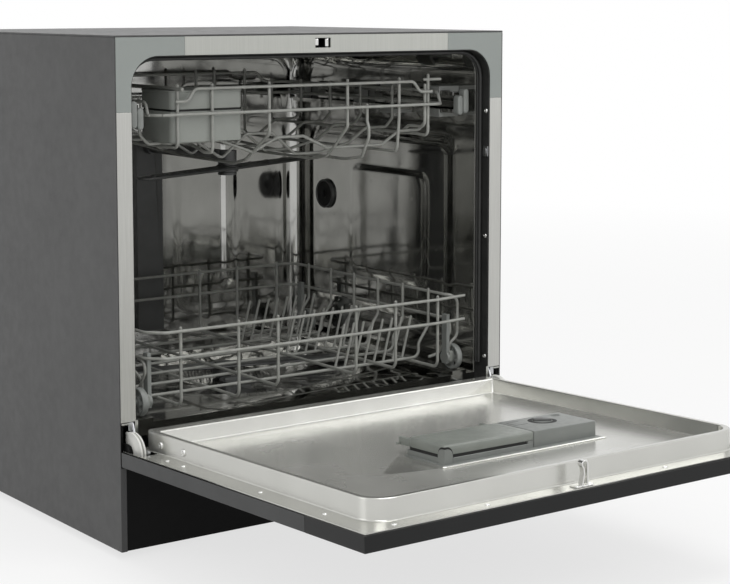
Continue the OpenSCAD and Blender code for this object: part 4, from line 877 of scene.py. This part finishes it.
# Wires that rise at the front, cross the floor and rise at the back; the middle ones dip to hold glasses.
# Each is its X, its heights in front, the (y, z) places between, and its heights at the back.
high = TOP_Z + 4
valley = ((112, VALLEY_Z), (230, VALLEY_Z + 1), (350, 425))
runs = [[at(176, FRONT_Y_IN, TOP_Z + 2), at(201, FRONT_Y_IN, TOP_Z + 2)]]
for x, front, between, rear in (
    (-178, (high, LOW_Z), (), (LOW_Z, SIDE_Z + 3)),
    (-132, (high, 438), ((52, 438), (84, LOW_Z)), (LOW_Z, high)),
    (-54, (high, 457), ((86, 423),) + valley, (428, high)),
    (58.6, (high, 461), ((62, 434), (78, 422)) + valley, (428, high)),
    (88, (MID_Z + 2, 466), ((29.6, 459), (29.6, 447), (44, 422), (80, VALLEY_Z)) + valley[1:], (428, high)),
    (136.8, (high, 468), ((37.5, 427), (350, 427)), (430, high)),
    (182, (high + 3, 444.5), ((60, LOW_Z),), (LOW_Z, SIDE_Z + 3)),
    (177, (508, 456), ((66, 456), (78, 449)), ()),
):
    places = [(FRONT_Y_IN, z) for z in front] + list(between) + [(BACK_Y_IN, z) for z in rear]
    runs.append([at(x, y, z) for y, z in places])
side_x = RACK_X - LAP
for y in (70, 140.5, 211, 281.5, 352):
    dip = {70: 433, 352: 428.4}.get(y, VALLEY_Z + LAP + 0.6)
    right = 428 if y > 100 else 430
    low_z = LOW_Z + LAP
    profile = ((-side_x, SIDE_Z + 3), (-side_x, LOW_Z + 14), (-RACK_X + 14, low_z), (-100, low_z),
        (-54, dip), (-19, low_z), (19, low_z), (54, dip), (92, dip), (137, right + LAP), (164, low_z),
        (RACK_X - 14, low_z), (side_x, LOW_Z + 14), (side_x, SIDE_Z + 3))
    runs.append([at(x, y, z) for x, z in profile])
wires(bm, runs, WIRE_R, 7, WIRE)
# Thicker bar over the cutlery basket
bar = [at(-178, y, z) for y, z in ((23, TOP_Z), (BACK_Y_IN - 60, TOP_Z), (BACK_Y_IN - 52, LOW_Z + 2))]
wires(bm, [bar], 2.5, 8, WIRE)
piece(bm, "upper_rack_wires", [WIRE], "upper_basket", "coated_wire", "upper_rack", 40)

# Cutlery basket: two tiers with a groove between them painted dark as shade, dividers and a slotted floor
TRAY_X, TRAY_Y = (-184, -88), (36, 110)
bm = bmesh.new()
outer = [(1.4, 451.2), (0.3, 452), (0, 453.4), (0, 486.6), (0.7, 487.1), (1.7, 487.1), (1.7, 489.3),
    (0.7, 489.3), (0, 489.8), (0, 508.4), (-0.7, 509), (-0.7, 510.4), (0, 511), (1.8, 511), (2.3, 510.4),
    (2.3, 454), (3.2, 453)]
loft(bm, [level(at, rounded(TRAY_X, TRAY_Y, 8 - min(i, 3), 8, inset=i), z) for i, z in outer])
# The faces of the groove between the tiers get the painted shade
for face in bm.faces:
    z = face.calc_center_median().z
    if at(0, 0, 487.0).z < z < at(0, 0, 489.4).z and len(face.verts) == 4:
        face.material_index = 1
for y in (60, 85):
    slab(bm, at, (TRAY_X[0] + 2, TRAY_X[1] - 2), (y - 0.8, y + 0.8), (452, 500), 0.5, 0.4)
slab(bm, at, (-137, -135), (TRAY_Y[0] + 2, TRAY_Y[1] - 2), (452, 500), 0.5, 0.4)
for k in range(9):
    x = TRAY_X[0] + 11 + k * 9.2
    slab(bm, at, (x - 1.2, x + 1.2), (TRAY_Y[0] + 4, TRAY_Y[1] - 4), (452.6, 454.8), 0.6, 0.4)
piece(bm, "cutlery_tray", [BASKET_GREY, PAINTED_SHADE_BLACK], "upper_basket", "grey_plastic", "cutlery_basket")

# End caps of the rails: two rounded lobes, the outer one taller
bm = bmesh.new()
for side in (-1, 1):
    put = lambda z, x, y: at(side * x, y, z)
    slab(bm, put, (471, 501.8), (233.6, 241.8), (25, 36.9), 4, 2, 4, 7)
    slab(bm, put, (469, 493.5), (225, 233.2), (26, 36.9), 4, 2, 4, 7)
piece(bm, "rail_caps", [RUNNER_GREY], "rails", "grey_plastic", "rail_end_caps")


# ---- Lower rack ----

LOWER_X, LOWER_Y, LOWER_BACK = 222, 20, 396
RIM_Z, BAND_Z, DECK_Z = 238, 208, 151
bm = bmesh.new()
# Rim and band run on past the front right upright; their side ends turn down to carry the front wheels
rim_end = ((LOWER_X, 52, RIM_Z), (LOWER_X + 8, 41, RIM_Z - 1), (236.4, 40, 230), (236.4, 40, 184),
    (LOWER_X + 2, 40, 176), (LOWER_X, 40, 163.5))
foot = ((37, 191), (60, 159))
band_end = ((LOWER_X, 37, BAND_Z),) + tuple((LOWER_X, y, z) for y, z in foot) + ((LOWER_X - 12, 64, 156),)
x, back, cut = LOWER_X, LOWER_BACK, 18
rings = []
for z, end in ((RIM_Z, rim_end), (BAND_Z, band_end)):
    rings.append([at(*place) for place in ((231, LOWER_Y, z + 1.6), (188, LOWER_Y, z), (cut - x, LOWER_Y, z),
        (-x, LOWER_Y + cut, z), (-x, back - 10, z), (10 - x, back, z), (x - 10, back, z),
        (x, back - 10, z)) + end])
left_end = ((52, BAND_Z - 2), (37, BAND_Z - 4)) + foot
rings.append([at(-x, y, z) for y, z in left_end] + [at(12 - x, 64, 156)])
wires(bm, rings, WIRE_R, 12, WIRE)
runs = []
for x in (-183, -105, -50, 64, 124.5, 191):
    low = DECK_Z + (2 * LAP if -66 < x < 160 else 0)
    y0, y1 = LOWER_Y + LAP, LOWER_BACK - LAP
    runs.append([at(x, y0, RIM_Z + 3), at(x, y0, low), at(x, y1, low), at(x, y1, RIM_Z + 3)])
crossings = (78, 132.8, 187.6, 242.4, 297.2, 352)
for y in crossings:
    x, deck = LOWER_X - LAP, LOWER_X - 19
    rise = ((x, RIM_Z + 3), (x, BAND_Z - 14), (deck, BAND_Z - 36), (deck, DECK_Z + LAP))
    runs.append([at(-a, y, z) for a, z in rise] + [at(a, y, z) for a, z in reversed(rise)])
wires(bm, runs, WIRE_R, 9, WIRE)
tines = []
for y in crossings[::2]:
    for k in range(8):
        x = 72 + 15 * k
        tines.append([at(x, y + 1, DECK_Z + LAP + 2), at(x + 14, y + 1, DECK_Z + LAP + 54)])
wires(bm, tines, 1.6, 1, WIRE, 8)
piece(bm, "lower_rack_wires", [WIRE], "lower_basket", "coated_wire", "lower_rack", 40)

# Clips that snap the wheel carriers to the wire
bm = bmesh.new()
for side in (-1, 1):
    slab(bm, lambda a, b, c: at(side * c, a, b), (32, 45), (152, 167), (218.4, 224.2), 3, 0.7)
piece(bm, "hub_clips", [BASKET_GREY], "lower_basket", "grey_plastic")

# Wheels: a crowned tyre, six spokes and a hub
WHEEL_X, AXLE_Z = 228.5, 158.5


def wheel(node, body, side, y):
    bm = bmesh.new()
    put = lambda a, b, c: at(side * (WHEEL_X + c), y + a, AXLE_Z + b)
    hoop(bm, put, [(13.2, -3.4), (14.6, -4), (16, -3.6), (16.5, -2.4), (16.5, 2.4), (16, 3.6), (14.6, 4),
        (13.2, 3.4), (12.6, 1), (12.6, -1)], 56)
    hoop(bm, put, [(3.5, -4), (6.4, -4), (7, -3.4), (7, 3.4), (6.4, 4), (3.5, 4)])
    for k in range(6):
        slab(bm, spun(put, math.radians(60 * k + 30)), (6.6, 13), (-2.1, 2.1), (-1.6, 1.6), 0.4, 0.5)
    settle(body + "_wheel", closed(bm, body), [RUNNER_GREY], body, "grey_plastic", node)


wheel("wheel_front_left", "wheel_fl", -1, 40)
wheel("wheel_front_right", "wheel_fr", 1, 40)
wheel("wheel_rear_left", "wheel_rl", -1, 370)
wheel("wheel_rear_right", "wheel_rr", 1, 370)


# ---- Door ----

# Rim outline of the liner and its pressing, lengths on the flat door
RIM_X, RIM_START, RIM_END = 247.5, 8, 436
FLANGE_TOP, RIM_TOP, FLOOR_H = 17.9, 40, 22
FLANGE_X, FLANGE_END = 272.5, 457
NOTCH_X, NOTCH_L = (249.6, 271.6), 40


def rim_ring(side, rear, r, h):
    """A ring of the pressing, set in by side at the sides and the end and by rear at the hinge."""
    across, along = (-RIM_X + side, RIM_X - side), (RIM_START + rear, RIM_END - side)
    return level(on_door, rounded(across, along, r, 12, max(r - 20, 3)), h)


def fill_between(bm, outline, ring):
    """Fills the flat band between a new outline and a ring that is there already."""
    border = [bm.verts.new(point) for point in outline]
    edges = [bm.edges.new((border[k - 1], border[k])) for k in range(len(border))]
    edges += [bm.edges.get((ring[k - 1], ring[k])) for k in range(len(ring))]
    bmesh.ops.triangle_fill(bm, edges=edges, use_beauty=True)


# Steps of the pressing: inset at the sides, inset at the hinge, corner radius and height
PRESSING = (
    (-1.6, -1.6, 29.6, FLANGE_TOP), (-0.8, -0.8, 28.8, 18.1), (-0.22, -0.22, 28.2, 18.7), (0, 0, 28, 19.5),
    (0.3, 0.3, 27.7, 38.2), (0.6, 0.6, 27.4, 39.3), (1.2, 1.2, 27, 39.85), (2.0, 2.0, 26.4, RIM_TOP),
    (5.6, 17.2, 24.2, RIM_TOP), (6.4, 18.0, 23.6, 39.8), (6.9, 18.5, 23.2, 39.3), (7.1, 18.8, 23, 38.4),
    (8.2, 20.4, 22.4, 23.3), (8.4, 20.7, 22.2, 22.6), (8.9, 21.2, 21.8, 22.1), (10.2, 22.5, 21, FLOOR_H),
    (24, 38, 16, FLOOR_H), (26, 40, 15.4, 22.2), (28, 42, 15, 22.5), (30, 44, 14.4, 22.6),
    (33, 47, 13.4, 22.6), (36, 50, 12.4, 22.6),
)
bm = bmesh.new()
loops = loft(bm, [rim_ring(*step) for step in PRESSING], low=False, high=False)
# The floor is open over the detergent cup, and the flange is notched over the hinge arms
fill_between(bm, level(on_door, rounded((-51.8, 55.8), (249, 303.8), 5, 4), PRESSING[-1][3]), loops[-1])
x0, x1 = NOTCH_X
right_half = [(x0, 1), (x0, NOTCH_L), (x1, NOTCH_L), (x1, 1), (FLANGE_X, 1), (FLANGE_X, FLANGE_END)]
outline = [(-x, l) for x, l in reversed(right_half)] + right_half
fill_between(bm, level(on_door, outline, FLANGE_TOP), loops[0])
# Faces of the floor, told by their height, get the finish painted lighter still
UP = (on_door(0, 0, 1) - on_door(0, 0, 0)).normalized()
for face in bm.faces:
    lift = (face.calc_center_median() - on_door(0, 0, 0)).dot(UP) / MM
    face.material_index = int(FLOOR_H - 1 < lift < FLOOR_H + 2)
mesh = closed(bm, "door_pan")
if mesh.polygons[0].normal.z < 0:
    mesh.flip_normals()
settle("door_pan", mesh, [LINER_STEEL_PAINTED_LIGHT, PAN_FLOOR_PAINTED_LIGHT], "door", "tub_steel", "door_liner", 28, wall=1.1)

# Latch hook: a bright strip on a foot, bent up, over and back down
HOOK = ((3, 18.4), (3, 42), (1.8, 44), (-0.4, 44.4), (-2.8, 44), (-4.2, 42.2), (-4.2, 40), (-2, 37),
    (-1.4, 31), (-4.4, 18.4))
bm = bmesh.new()
slab(bm, on_door, (-12, 12), (443.8, 456.2), (18, 20), 2.5, 0.6)
strip = [[], []]
for before, here, after in zip((HOOK[0],) + HOOK, HOOK, HOOK[1:] + (HOOK[-1],)):
    along = Vector((after[0] - before[0], after[1] - before[1])).normalized() * 0.75
    strip[0].append((here[0] - along.y, here[1] + along.x))
    strip[1].append((here[0] + along.y, here[1] - along.x))
outline = strip[0] + strip[1][::-1]
loft(bm, [[on_door(x, l, h) for x, h in outline] for l in (450, 456.2)])
piece(bm, "latch_strip", [BRIGHT], "door", "bright_steel", "latch_hook", edge=0.25)

# Flange screws along the pan, small and bright, and the two that hold each hinge arm to the rim
bm = bmesh.new()
seats = [(on_door(side * 259, l, FLANGE_TOP), UP) for side in (-1, 1) for l in (77, 111, 262, 374)]
seats += [(on_door(x, 447, FLANGE_TOP), UP) for x in (-232, -120, 120, 232)]
set_copies(bm, "flange_screw_heads", screw_shape(2.7, 1.0), seats, BRIGHT)
seats = [(on_door(side * (RIM_X - 0.3), l, 27.5), Vector((side, 0, 0)))
    for side in (-1, 1) for l in (42, 91)]
set_copies(bm, "arm_screw_heads", screw_shape(4.2, 1.6), seats, BRIGHT)
piece(bm, "flange_screws", [BRIGHT], "door", "bright_steel")

# Hinge arms: an eye on the pin, a tail for the spring, a tongue into the door and a tab above
ARM_X, EYE_R, TAIL = (256.8, 259.6), 8, (12, 33)
TAIL_X = (ARM_X[0] + 0.06, ARM_X[1] - 0.06)
TONGUE_X = (ARM_X[0] + 0.12, ARM_X[1] - 0.12)
bm = bmesh.new()
for side in (-1, 1):
    eye = lambda a, b, c: at(side * c, a - PIVOT_Y, b + PIVOT_Z)
    hoop(bm, eye, [(4.4, ARM_X[0]), (7.7, ARM_X[0]), (EYE_R, ARM_X[0] + 0.3), (EYE_R, ARM_X[1] - 0.3),
        (7.7, ARM_X[1]), (4.4, ARM_X[1])])
    slab(bm, spun(eye, math.atan2(TAIL[1], TAIL[0])), (5.5, 39), (-4, 4), TAIL_X, 3.8, 0.4)
    slab(bm, lambda a, b, c: on_door(side * c, a, b), (11.5, 36), (17.2, 21.3), TONGUE_X, 1, 0.4)
    slab(bm, lambda a, b, c: at(side * a, c, b), (258.8, 264.4), (137, 146.6), (0.2, 1.2), 0.6, 0.3)
piece(bm, "hinge_arm_plates", [PLATED], "door", "plated_steel", "hinge_arms")

# Covers of the hinge: two quarter-round leaves side by side
leaf = [(4.6, 112.4), (4.6, 134.8), (3.6, 135.8)]
leaf += [(-8 - 23.5 * math.sin(t), 113.5 + 23.5 * math.cos(t)) for t in arc(16)]
leaf += [(-31, 112.4)]
bm = bmesh.new()
for side in (-1, 1):
    for x0, x1, shift in ((259.9, 262.1, -1.2), (263.2, 265.9, 0)):
        middle = (-14, 124)
        steps = ((x0, 0.96), (x0 + 0.5, 1), (x1 - 0.5, 1), (x1, 0.96))
        loft(bm, [[at(side * x, middle[0] + (y - middle[0]) * s + shift, middle[1] + (z - middle[1]) * s)
            for y, z in leaf] for x, s in steps])
piece(bm, "hinge_leaves", [WHITE], "door", "white_plastic", "hinge_covers")

# Folded ends of the mouth trim and of the side strips, above each hinge
bm = bmesh.new()
for side in (-1, 1):
    fold = lambda a, b, c: at(side * a, c, b)
    slab(bm, fold, (252.2, 256), (132.5, 148.2), (0.2, 0.9), 0.6, 0.2)
    slab(bm, fold, (263.5, 273.4), (144.2, 146.2), (-0.4, 0.9), 0.6, 0.4)
piece(bm, "strip_folds", [STRIP_ACROSS_PAINTED_DARKER], "cabinet", "frame_steel")

# Detergent and rinse-aid dispenser, whose top rises toward its left end
LID_X, LID_L, CASE_END = (-61.5, 62), (246, 308), 153.5
PIN_L, PIN_H = 226, 33
RINSE_X, RINSE_L, RINSE_TOP = 108, 270, 37.3


def raised(x, l, h):
    """A dispenser point; heights over the case's foot are stretched, more so to the left."""
    return on_door(x, l, 23 + (h - 23) * (1.2 - 0.14 * (x - LID_X[0]) / 208))


bm = bmesh.new()
slab(bm, on_door, (-64.5, 157), (242, 315), (22.1, 24), 4, 0.8, 3)
# Rim under the lid and the cup inside it, from the cup's outer floor round to its inner floor
cup_rings = []
rim_x = (LID_X[0], LID_X[1] + 0.2)
for across, along, h, r in (((-51.4, 55.4), (249.4, 303.4), 5.2, 5), ((-51.4, 55.4), (249.4, 303.4), 23, 5),
        (rim_x, (243, 308), 23.1, 2.5), (rim_x, (243, 308), 28.1, 2.5),
        ((LID_X[0] + 0.4, LID_X[1] - 0.2), (243.4, 307.6), 28.5, 2.3),
        ((-50.3, 54.3), (250.6, 302.2), 28.5, 4.4), ((-49.8, 53.8), (251.2, 301.8), 28, 4.2),
        ((-49, 53), (252, 301), 8, 4), ((-47, 51), (254, 299), 6.8, 3)):
    cup_rings.append(level(raised if h > 23 else on_door, rounded(across, along, r), h))
loft(bm, cup_rings)
slab(bm, raised, (54, LID_X[1]), (247, 307.7), (28, 31.2), 1, 0.2)
slab(bm, raised, (LID_X[1] + 0.25, CASE_END), (246, 308), (23, RIM_TOP), 1.4, 0.9, 4)
# Clip that wraps the lid's front left corner, its top a round arch
arch_left = lambda l, h, x: raised(x, l, h)
arch_front = lambda x, h, l: raised(x, l, h)


def half_arch(bm, put, square, round_end, top, r, span):
    """A plate over span, square at one end and rounded by r at the top of the other."""
    way = math.copysign(r, round_end - square)
    outline = [(square, 20), (round_end, 20)]
    for turn in arc(8):
        outline.append((round_end - way * (1 - math.cos(turn)), top - r * (1 - math.sin(turn))))
    outline.append((square, top))
    loft(bm, [level(put, outline, c) for c in span])


half_arch(bm, arch_left, 310.2, 299.5, 37, 6, (LID_X[0] - 1.9, LID_X[0] + 1))
half_arch(bm, arch_front, LID_X[0] - 1.7, -52, 37, 6, (307, 310.4))
# Sight glass beside the rinse cap
turned(bm, from_centre(raised, 140, 256), [(5.6, RIM_TOP), (5.4, 40.25), (4.4, 40.3), (4.1, 39.9)], 28)
piece(bm, "dispenser_case", [DISPENSER_GREY], "door", "grey_plastic", "dispenser_body")
bm = bmesh.new()
# Painted shade in the gap round the shut lid and round the clip's arch, dark bands where the gaps' shadow
# falls
lid_gap_shade = [level(raised, rounded((LID_X[0], 54.5), LID_L, 2.5, inset=i), h)
    for i, h in ((0.8, 28.4), (0.8, 31.4), (3.4, 31.4), (3.4, 28.4), (0.8, 28.4))]
loft(bm, lid_gap_shade, False, False)
half_arch(bm, arch_left, 309, 297.8, 38.7, 7.5, (LID_X[0] - 0.5, LID_X[0] + 0.8))
half_arch(bm, arch_front, LID_X[0] - 0.4, -50.2, 38.7, 7.5, (307.2, 308.5))
# Painted shade in the ring gap round the rinse cap and in the seams beside it
gap_top = RIM_TOP + 0.06
turned(bm, from_centre(raised, RINSE_X, RINSE_L), [(16.4, 39.6), (16.4, gap_top), (15, gap_top)], 40)
for across, along in (((67, 85), (256, 256.7)), ((67, 85), (272, 272.7)), ((67, 67.7), (256, 272))):
    slab(bm, raised, across, along, (39, gap_top), 0.3, 0.05)
piece(bm, "dispenser_gaps", [PAINTED_SHADE_BLACK], "door", "grey_plastic")

# Bright bead where the case meets the pan, and the pan's stamped slope beside the case
bm = bmesh.new()
bead = [on_door(x, l, 23.4) for x, l in ((-69, 315.5), (-66, 317.4), (158, 317.4))]
wires(bm, [bead], 1.1, 2, LINER_STEEL_PAINTED_LIGHT, 8)
piece(bm, "case_bead", [LINER_STEEL_PAINTED_LIGHT], "door", "bright_steel")
bm = bmesh.new()
foot = ((-65.5, 231), (-131, 292), (-129, 304), (-66, 319))
slope = ((-66, 236, 23.6), (-127, 292.4, 23.3), (-125.8, 301, 22.6), (-66, 315.4, 22.6))
loft(bm, [level(on_door, foot, FLOOR_H), [on_door(*place) for place in slope]])
piece(bm, "stamped_slope", [LINER_STEEL_PAINTED_LIGHT], "door", "tub_steel", edge=0.5, segments=2)

# Lid: a smooth top with rounded edges, and its pins
bm = bmesh.new()
steps = ((0.9, 31.3), (0.2, 31.5), (0, 32), (0, 38.4), (0.4, 39.3), (1.2, 39.85), (2.2, RIM_TOP),
    (9, 40.1), (10, 39.95), (11, 39.95))
loft(bm, [level(raised, rounded(LID_X, LID_L, max(2 - i * 0.3, 1), 6, 6, i), h) for i, h in steps])
for x in (LID_X[0] + 4, LID_X[1] - 8):
    slab(bm, raised, (x, x + 5), (PIN_L - 2, LID_L[0] + 2), (30, 37), 1.2, 0.5)
for x in (LID_X[0] + 0.2, LID_X[1] - 3.4):
    turned(bm, lambda a, b, c: on_door(x + c, PIN_L + a, PIN_H + b), [(1.4, 0), (1.4, 3.2)], 24)
piece(bm, "dispenser_lid_moulding", [LID_GREY], "detergent_lid", "grey_plastic", "dispenser_lid")

# Rinse-aid cap: a knurled disc with a turning bar
bm = bmesh.new()
cap = from_centre(on_door, RINSE_X, RINSE_L)
knurled(bm, cap, [(11.2, RINSE_TOP), (12, 37.7), (12, 41), (11.4, 41.6), (10.6, 41.8)], 60, 0.35,
    (37.5, 41.3))
BAR_TURN = math.radians(36)
slab(bm, spun(cap, BAR_TURN), (-10.6, 10.6), (-3, 3), (39.5, 43.8), 2.2, 0.8, 3, 5, 1)
turned(bm, cap, [(6, 29.5), (6, 38)], 32)
piece(bm, "rinse_cap_moulding", [CAP_GREY, ARM_GREY], "rinse_aid_cap", "grey_plastic", "rinse_cap")

# Fascia: buttons with a flange behind, the display window, and lamps beside it
BUTTON_L = 392
for node, body, x in (("power_button", "power_key", -200), ("program_button", "program_key", 150),
        ("start_button", "start_key", 190)):
    bm = bmesh.new()
    slab(bm, on_door, (x - 8, x + 8), (BUTTON_L - 4, BUTTON_L + 4), (-0.4, 3.5), 1.8, 0.6, 3)
    slab(bm, on_door, (x - 10, x + 10), (BUTTON_L - 6, BUTTON_L + 6), (2.8, 4.1), 1, 0.2)
    settle(node + "_moulding", closed(bm, node), [BUTTON], body, "button_plastic", node)
bm = bmesh.new()
slab(bm, on_door, (-44.8, 44.8), (384.2, 399.8), (0.1, 1.2), 1.4, 0.3)
piece(bm, "display_window", [WINDOW], "door", "panel_black")
bm = bmesh.new()
for k in range(4):
    turned(bm, from_centre(on_door, 64 + 12 * k, BUTTON_L), [(1.3, -0.05), (1.5, 0.3), (1.5, 1)], 20)
piece(bm, "program_lamps", [BUTTON], "door", "button_plastic")


# ---- World and floor ----

def seen_in(tree):
    """One where a ray comes from the camera, a mirror or clear plastic, and nought for other rays."""
    rays = add(tree, "ShaderNodeLightPath").outputs
    seen = rays["Is Camera Ray"]
    for other in ("Is Transmission Ray", "Is Glossy Ray"):
        seen = add(tree, "ShaderNodeMath", {"operation": "MAXIMUM"}, {0: seen, 1: rays[other]}).outputs[0]
    return seen


world = bpy.data.worlds.new("studio")
bpy.context.scene.world = world
world.use_nodes = True
tree = world.node_tree
tree.nodes.clear()
# The room is brighter overhead than at eye level
height = add(tree, "ShaderNodeSeparateXYZ", inputs={
    0: add(tree, "ShaderNodeTexCoord").outputs["Generated"]}).outputs["Z"]
glow = add(tree, "ShaderNodeMapRange", inputs={
    "Value": height, "From Min": -0.1, "From Max": 0.9, "To Min": 0.2, "To Max": 0.62}).outputs["Result"]
lit = add(tree, "ShaderNodeBackground", inputs={"Color": srgb("#f6f6f5"), "Strength": glow})
white = add(tree, "ShaderNodeBackground", inputs={"Color": srgb("#ffffff"), "Strength": 1.0})
mixed = add(tree, "ShaderNodeMixShader", inputs={0: seen_in(tree), 1: lit.outputs[0], 2: white.outputs[0]})
add(tree, "ShaderNodeOutputWorld", inputs={"Surface": mixed.outputs[0]})

FLOOR_HALF = 40
paper = bpy.data.meshes.new("floor")
corners = [(x * FLOOR_HALF, y * FLOOR_HALF, 0) for x, y in ((-1, -1), (1, -1), (1, 1), (-1, 1))]
paper.from_pydata(corners, [], [(0, 1, 2, 3)])
matt_paper = surface("matt_white_paper", "#f6f6f6", "#f4f4f4", (0.85, 0.95), 400, 3, 0.01)
# The paper is shown near white where it is looked at or mirrored, and keeps part of the shadow on it
tree = matt_paper.node_tree
shader = next(node for node in tree.nodes if node.type == "BSDF_PRINCIPLED")
output = next(node for node in tree.nodes if node.type == "OUTPUT_MATERIAL")
spread = add(tree, "ShaderNodeVectorMath", {"operation": "LENGTH"}, {
    0: add(tree, "ShaderNodeTexCoord").outputs["Object"]}).outputs["Value"]
whiteness = add(tree, "ShaderNodeMapRange", inputs={
    "Value": spread, "From Min": 0.6, "From Max": 3.5, "To Min": 0.72, "To Max": 1.0}).outputs["Result"]
share = add(tree, "ShaderNodeMath", {"operation": "MULTIPLY"}, {0: seen_in(tree), 1: whiteness}).outputs[0]
white = add(tree, "ShaderNodeEmission", inputs={"Color": srgb("#ffffff"), "Strength": 1.0}).outputs[0]
mixed = add(tree, "ShaderNodeMixShader", inputs={0: share, 1: shader.outputs[0], 2: white})
tree.links.new(mixed.outputs[0], output.inputs["Surface"])
paper.materials.append(matt_paper)
floor = bpy.data.objects.new("floor", paper)
bpy.context.scene.collection.objects.link(floor)
floor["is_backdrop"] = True

# ---- Close ----

bpy.context.scene.view_settings.view_transform = "Standard"
low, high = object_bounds()
